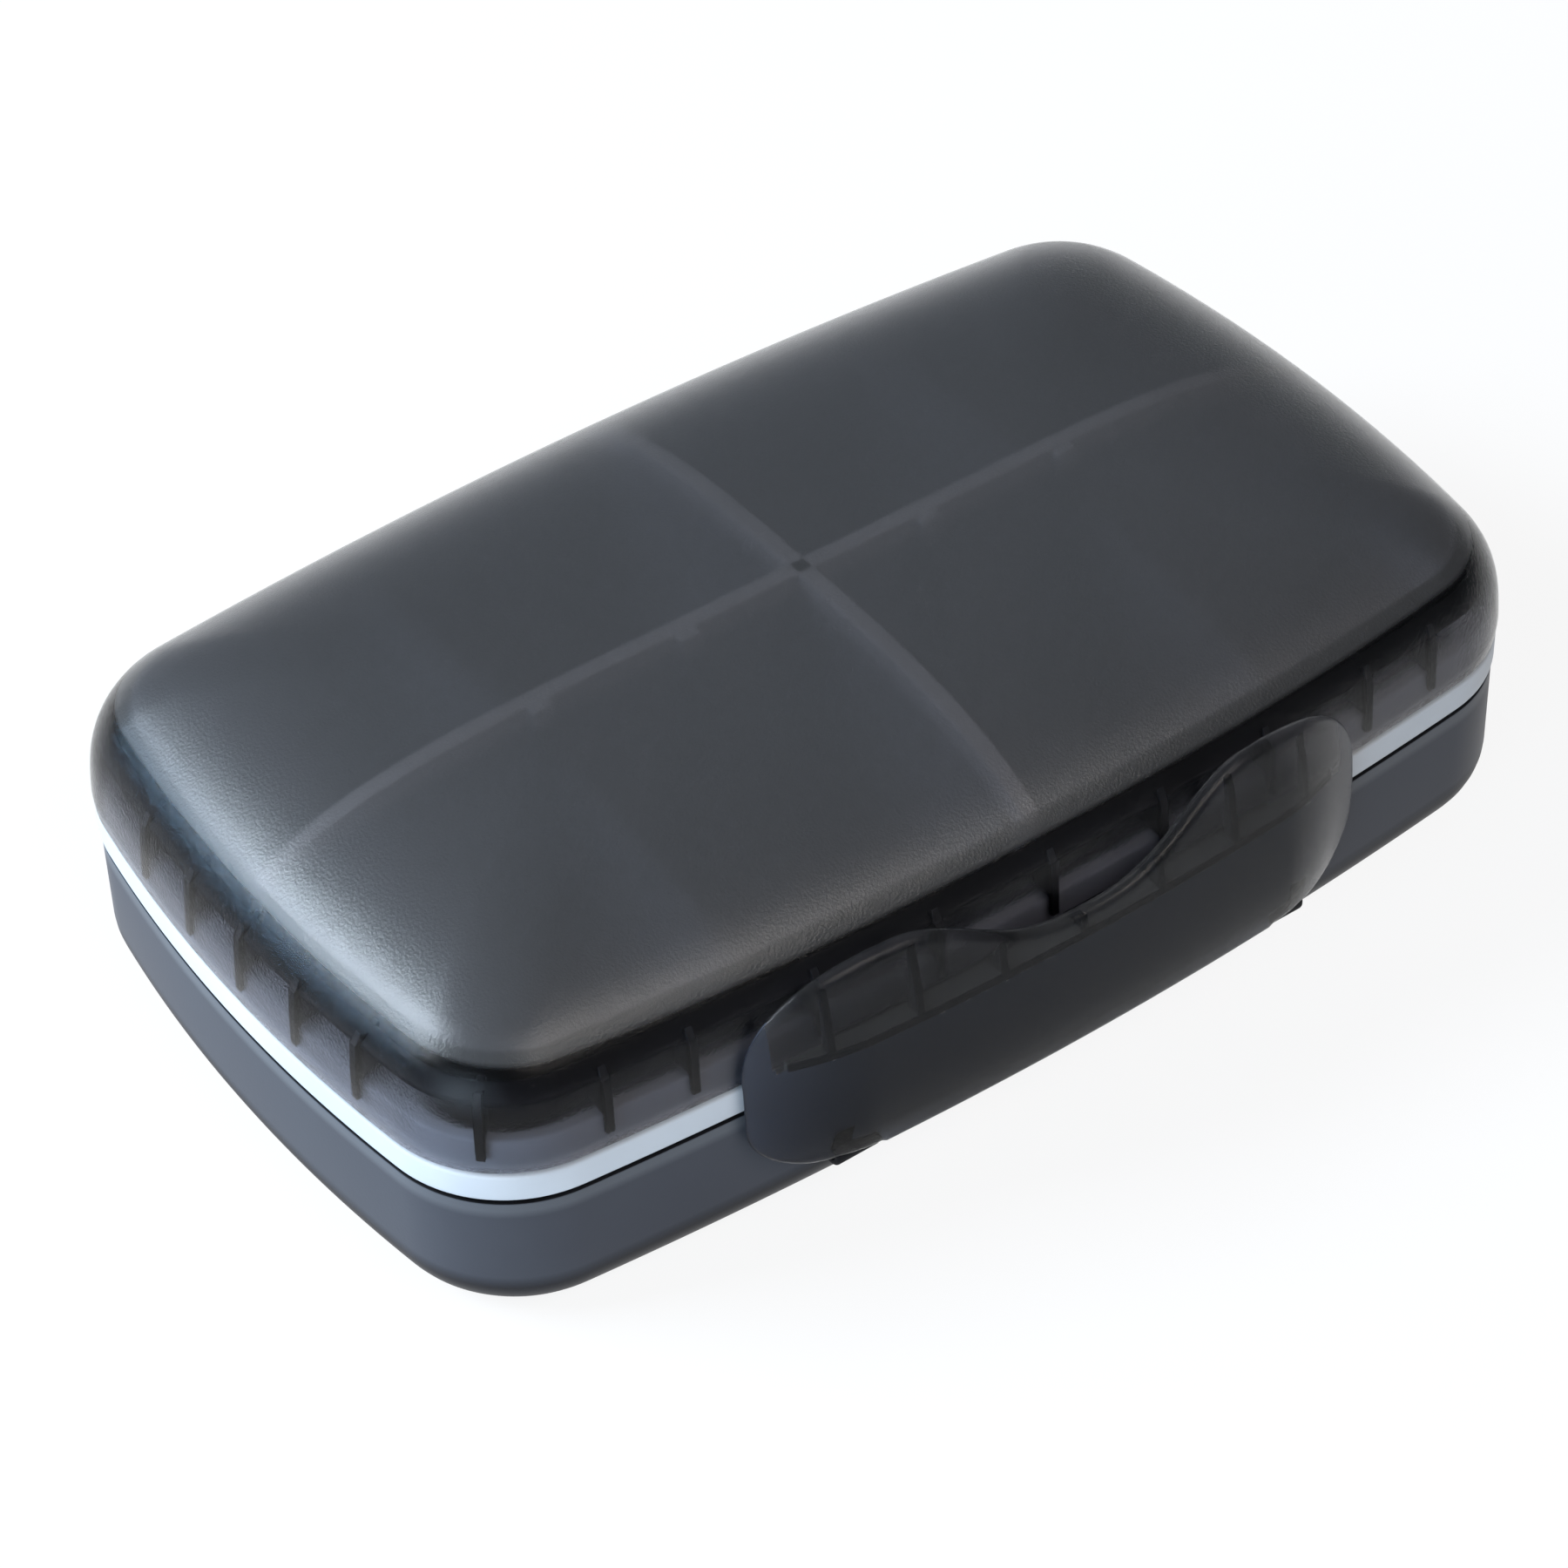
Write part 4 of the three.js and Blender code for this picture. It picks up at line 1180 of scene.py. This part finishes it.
def latch_inner(x, z):
    """The plate's inner face, which gives the barrel room between the lugs."""
    inner = latch_outer(x, z) + latch_wall(x)
    room = (BARREL_RADIUS + LUG_GAP) ** 2 - (z - LATCH_AXIS_Z) ** 2
    if abs(x) > LUG[0] or room <= 0:
        return inner
    return min(inner, LATCH_AXIS_Y - math.sqrt(room))


def latch_rim():
    """The plate's edge, seen from the front, as a closed run of points."""
    stations = LATCH_HALF * np.sin(np.linspace(-math.pi / 2, math.pi / 2, LATCH_RIM_POINTS))
    top = [(x, latch_top(x)) for x in stations]
    bottom = [(x, latch_bottom(x)) for x in stations[::-1]]
    return np.array([*top, *bottom])


def rim_distance(x, z, rim):
    point = np.array([x, z])
    start, end = rim, np.roll(rim, -1, axis=0)
    edge = end - start
    length = np.maximum((edge**2).sum(1), 1e-12)
    along = np.clip(((point - start) * edge).sum(1) / length, 0, 1)
    return float(np.sqrt((((start + edge * along[:, None]) - point) ** 2).sum(1).min()))


def latch_plate_shape():
    """Two faces over one grid, which meet in a rounded rim, and marks for the painted shade on the
    inner face: all of it but the part above the ledge."""
    rim = latch_rim()
    stations = LATCH_HALF * np.sin(np.linspace(-math.pi / 2, math.pi / 2, LATCH_COLUMNS))
    rows = (1 - np.cos(math.pi * np.linspace(0, 1, LATCH_ROWS))) / 2
    grid = []
    for x in stations:
        for share in rows:
            z = latch_bottom(x) + (latch_top(x) - latch_bottom(x)) * share
            half = (latch_inner(x, z) - latch_outer(x, z)) / 2
            from_rim = min(rim_distance(x, z, rim) / half, 1)
            depth = half * math.sqrt(max(1 - (1 - from_rim) ** 2, 0))
            grid.append((x, latch_outer(x, z) + half, z, depth))
    points, faces, marks = [], [], []
    for face in (-1, 1):
        start = len(points)
        points += [(x, centre + face * depth, z) for x, centre, z, depth in grid]
        for i in range(len(stations) - 1):
            for j in range(len(rows) - 1):
                a = start + i * len(rows) + j
                quad = (a, a + len(rows), a + len(rows) + 1, a + 1)
                faces.append(quad if face < 0 else quad[::-1])
                x, _, z = points[a]
                clear = z >= LEDGE_BOTTOM and abs(x) <= LEDGE_HALF + CLEAR_PAST_LEDGE
                marks.append(face > 0 and not clear)
    return (points, faces), marks


def hook_y(x):
    """Where the ledge's tip stops, clear of the lid's lip."""
    return front_y(x, LIP_REACH + HOOK_CLEARANCE)


def ledge_shape():
    stations = np.linspace(-LEDGE_HALF, LEDGE_HALF, LEDGE_STEPS + 1)
    height = LEDGE_BOTTOM + LEDGE / 2
    root = [(x, latch_inner(x, height) - PLATE_BURIAL) for x in stations]
    tip = [(x, hook_y(x)) for x in stations[::-1]]
    return prism(root + tip, LEDGE_BOTTOM, LEDGE_BOTTOM + LEDGE, along_z)


def gusset_shape(x):
    foot = LEDGE_BOTTOM + LEDGE / 2
    top = latch_top(x) - LATCH_WALL
    heights = np.linspace(foot, top, GUSSET_STEPS + 1)
    buried = [(latch_inner(x, z) - PLATE_BURIAL, z) for z in heights]
    depth = hook_y(x) - GUSSET_SETBACK - latch_inner(x, foot)
    free = [
        (latch_inner(x, z) + depth * math.cos((z - foot) / (top - foot) * math.pi / 2), z)
        for z in heights[:-1]
    ]
    return prism(buried + free[::-1], x - GUSSET / 2, x + GUSSET / 2, along_x)


def lug_shape(x0, x1):
    """A lug beside the barrel, on a web that reaches into the plate."""
    outermost = max(abs(x0), abs(x1))
    foot = latch_bottom(outermost) + LUG_WEB_INSET
    top = LATCH_AXIS_Z + LUG_WEB_HEIGHT
    web = [
        (LATCH_AXIS_Y, LATCH_AXIS_Z + BARREL_RADIUS),
        (LATCH_AXIS_Y, LATCH_AXIS_Z - BARREL_RADIUS * WEB_SHOULDER),
        (latch_inner(outermost, foot) - LUG_WEB_INSET, foot),
        (latch_inner(outermost, top) - LUG_WEB_INSET, top),
    ]
    return latch_tube(x0, x1, web)


# The plate's inner face takes painted shade, except above the ledge
plate, painted_shade_faces = latch_plate_shape()
piece(
    "latch_plate", plate, LATCH_SMOKE, "latch", ["latch"], sharp=60,
    others=(LATCH_PAINTED_SHADE,), marks=painted_shade_faces,
)
# The ledge's faces are its bottom and top, then the strip along its root, which is painted near
# black as shade in the crease against the plate
ledge = ledge_shape()
root_faces = range(2, 2 + LEDGE_STEPS)
piece(
    "latch_ledge", ledge, LATCH_INSIDE_PAINTED_SHADE, "latch", bevel=WALL_BEVEL,
    others=(DARK_PLASTIC_AND_PAINTED_SHADE,), marks=[i in root_faces for i in range(len(ledge[1]))],
)
piece(
    "latch_gussets",
    joined(*[gusset_shape(i * GUSSET_PITCH) for i in each_way(GUSSETS_EACH_WAY)]),
    DARK_PLASTIC_AND_PAINTED_SHADE, "latch", bevel=THIN_BEVEL,
)
piece(
    "latch_lugs", joined(lug_shape(*LUG), lug_shape(-LUG[1], -LUG[0])),
    DARK_PLASTIC_AND_PAINTED_SHADE, "latch",
)


# Stage

FLOOR_REACH = 12.0
FLOOR_DROP = 0.0002
GLOW_SHARE = 0.88
LAMP_DISTANCE = 0.9
AIM = Vector((0, 0, 0.02))


def floor_material():
    """White floor: the camera, gloss and refraction see it near white, and it keeps the shadow."""
    material, nodes, links = shader("floor")
    matt = nodes.new("ShaderNodeBsdfDiffuse")
    matt.inputs["Color"].default_value = (0.85, 0.86, 0.88, 1)
    glow = nodes.new("ShaderNodeEmission")
    glow.inputs["Color"].default_value = (1, 1, 1, 1)
    glow.inputs["Strength"].default_value = 1.0
    path = nodes.new("ShaderNodeLightPath").outputs
    seen = math_node(nodes, links, "MAXIMUM", path["Is Camera Ray"], path["Is Glossy Ray"])
    seen = math_node(nodes, links, "MAXIMUM", seen, path["Is Transmission Ray"])
    mix = nodes.new("ShaderNodeMixShader")
    links.new(math_node(nodes, links, "MULTIPLY", seen, GLOW_SHARE), mix.inputs["Fac"])
    links.new(matt.outputs["BSDF"], mix.inputs[1])
    links.new(glow.outputs["Emission"], mix.inputs[2])
    surface(nodes, links, mix.outputs["Shader"])
    return material


floor_mesh = bpy.data.meshes.new("floor")
corners = ((-1, -1), (1, -1), (1, 1), (-1, 1))
floor_mesh.from_pydata(
    [(x * FLOOR_REACH, y * FLOOR_REACH, -FLOOR_DROP) for x, y in corners], [], [(0, 1, 2, 3)]
)
floor_mesh.materials.append(floor_material())
floor = bpy.data.objects.new("floor", floor_mesh)
bpy.context.scene.collection.objects.link(floor)

world = bpy.data.worlds.new("studio")
world.use_nodes = True
world.node_tree.nodes["Background"].inputs["Color"].default_value = (0.82, 0.90, 1.0, 1)
world.node_tree.nodes["Background"].inputs["Strength"].default_value = 0.165
bpy.context.scene.world = world


def softbox(name, direction, size, radiance, colour, mirrored=True):
    """A flat lamp that faces the object from a direction. Radiance is how bright its face looks;
    a lamp that isn't mirrored lights the object but leaves no patch in its gloss."""
    lamp = bpy.data.lights.new(name, "AREA")
    lamp.shape = "RECTANGLE"
    lamp.size, lamp.size_y = size
    lamp.energy = radiance * math.pi * size[0] * size[1]
    lamp.color = colour
    holder = bpy.data.objects.new(name, lamp)
    towards = Vector(direction).normalized()
    holder.location = AIM + towards * LAMP_DISTANCE
    holder.rotation_mode = "QUATERNION"
    holder.rotation_quaternion = towards.to_track_quat("Z", "Y")
    holder.visible_glossy = mirrored
    bpy.context.scene.collection.objects.link(holder)


softbox("window", (-0.671, 0.452, 0.588), (0.52, 0.32), 24.5, (0.79, 0.90, 1.0))
softbox("sill", (-0.74, 0.604, 0.294), (0.5, 0.2), 9.5, (0.42, 0.68, 1.0))
softbox("side", (-0.89, -0.36, 0.26), (0.5, 0.4), 9.0, (0.64, 0.82, 1.0), mirrored=False)
softbox("front", (0.10, -0.62, 0.74), (0.6, 0.3), 5.2, (1.0, 0.92, 0.85))

bpy.context.scene.view_settings.view_transform = "Standard"

# Camera, fitted to the photograph's outline; its place is in millimetres
camera_data = bpy.data.cameras.new("camera")
camera_data.lens = 110.36
camera_data.sensor_width = 36.0
camera_data.clip_start = 0.01
camera_data.clip_end = 50.0
camera = bpy.data.objects.new("camera", camera_data)
right = Vector((0.80816837, -0.58841223, -0.02519786))
up = Vector((0.41444139, 0.53778377, 0.73418455))
back = Vector((-0.41845216, -0.60378776, 0.67848222))
place = Matrix((right, up, back)).transposed().to_4x4()
place.translation = Vector((-183.586, -261.164, 302.444)) * MM
camera.matrix_world = place
bpy.context.scene.collection.objects.link(camera)
bpy.context.scene.camera = camera
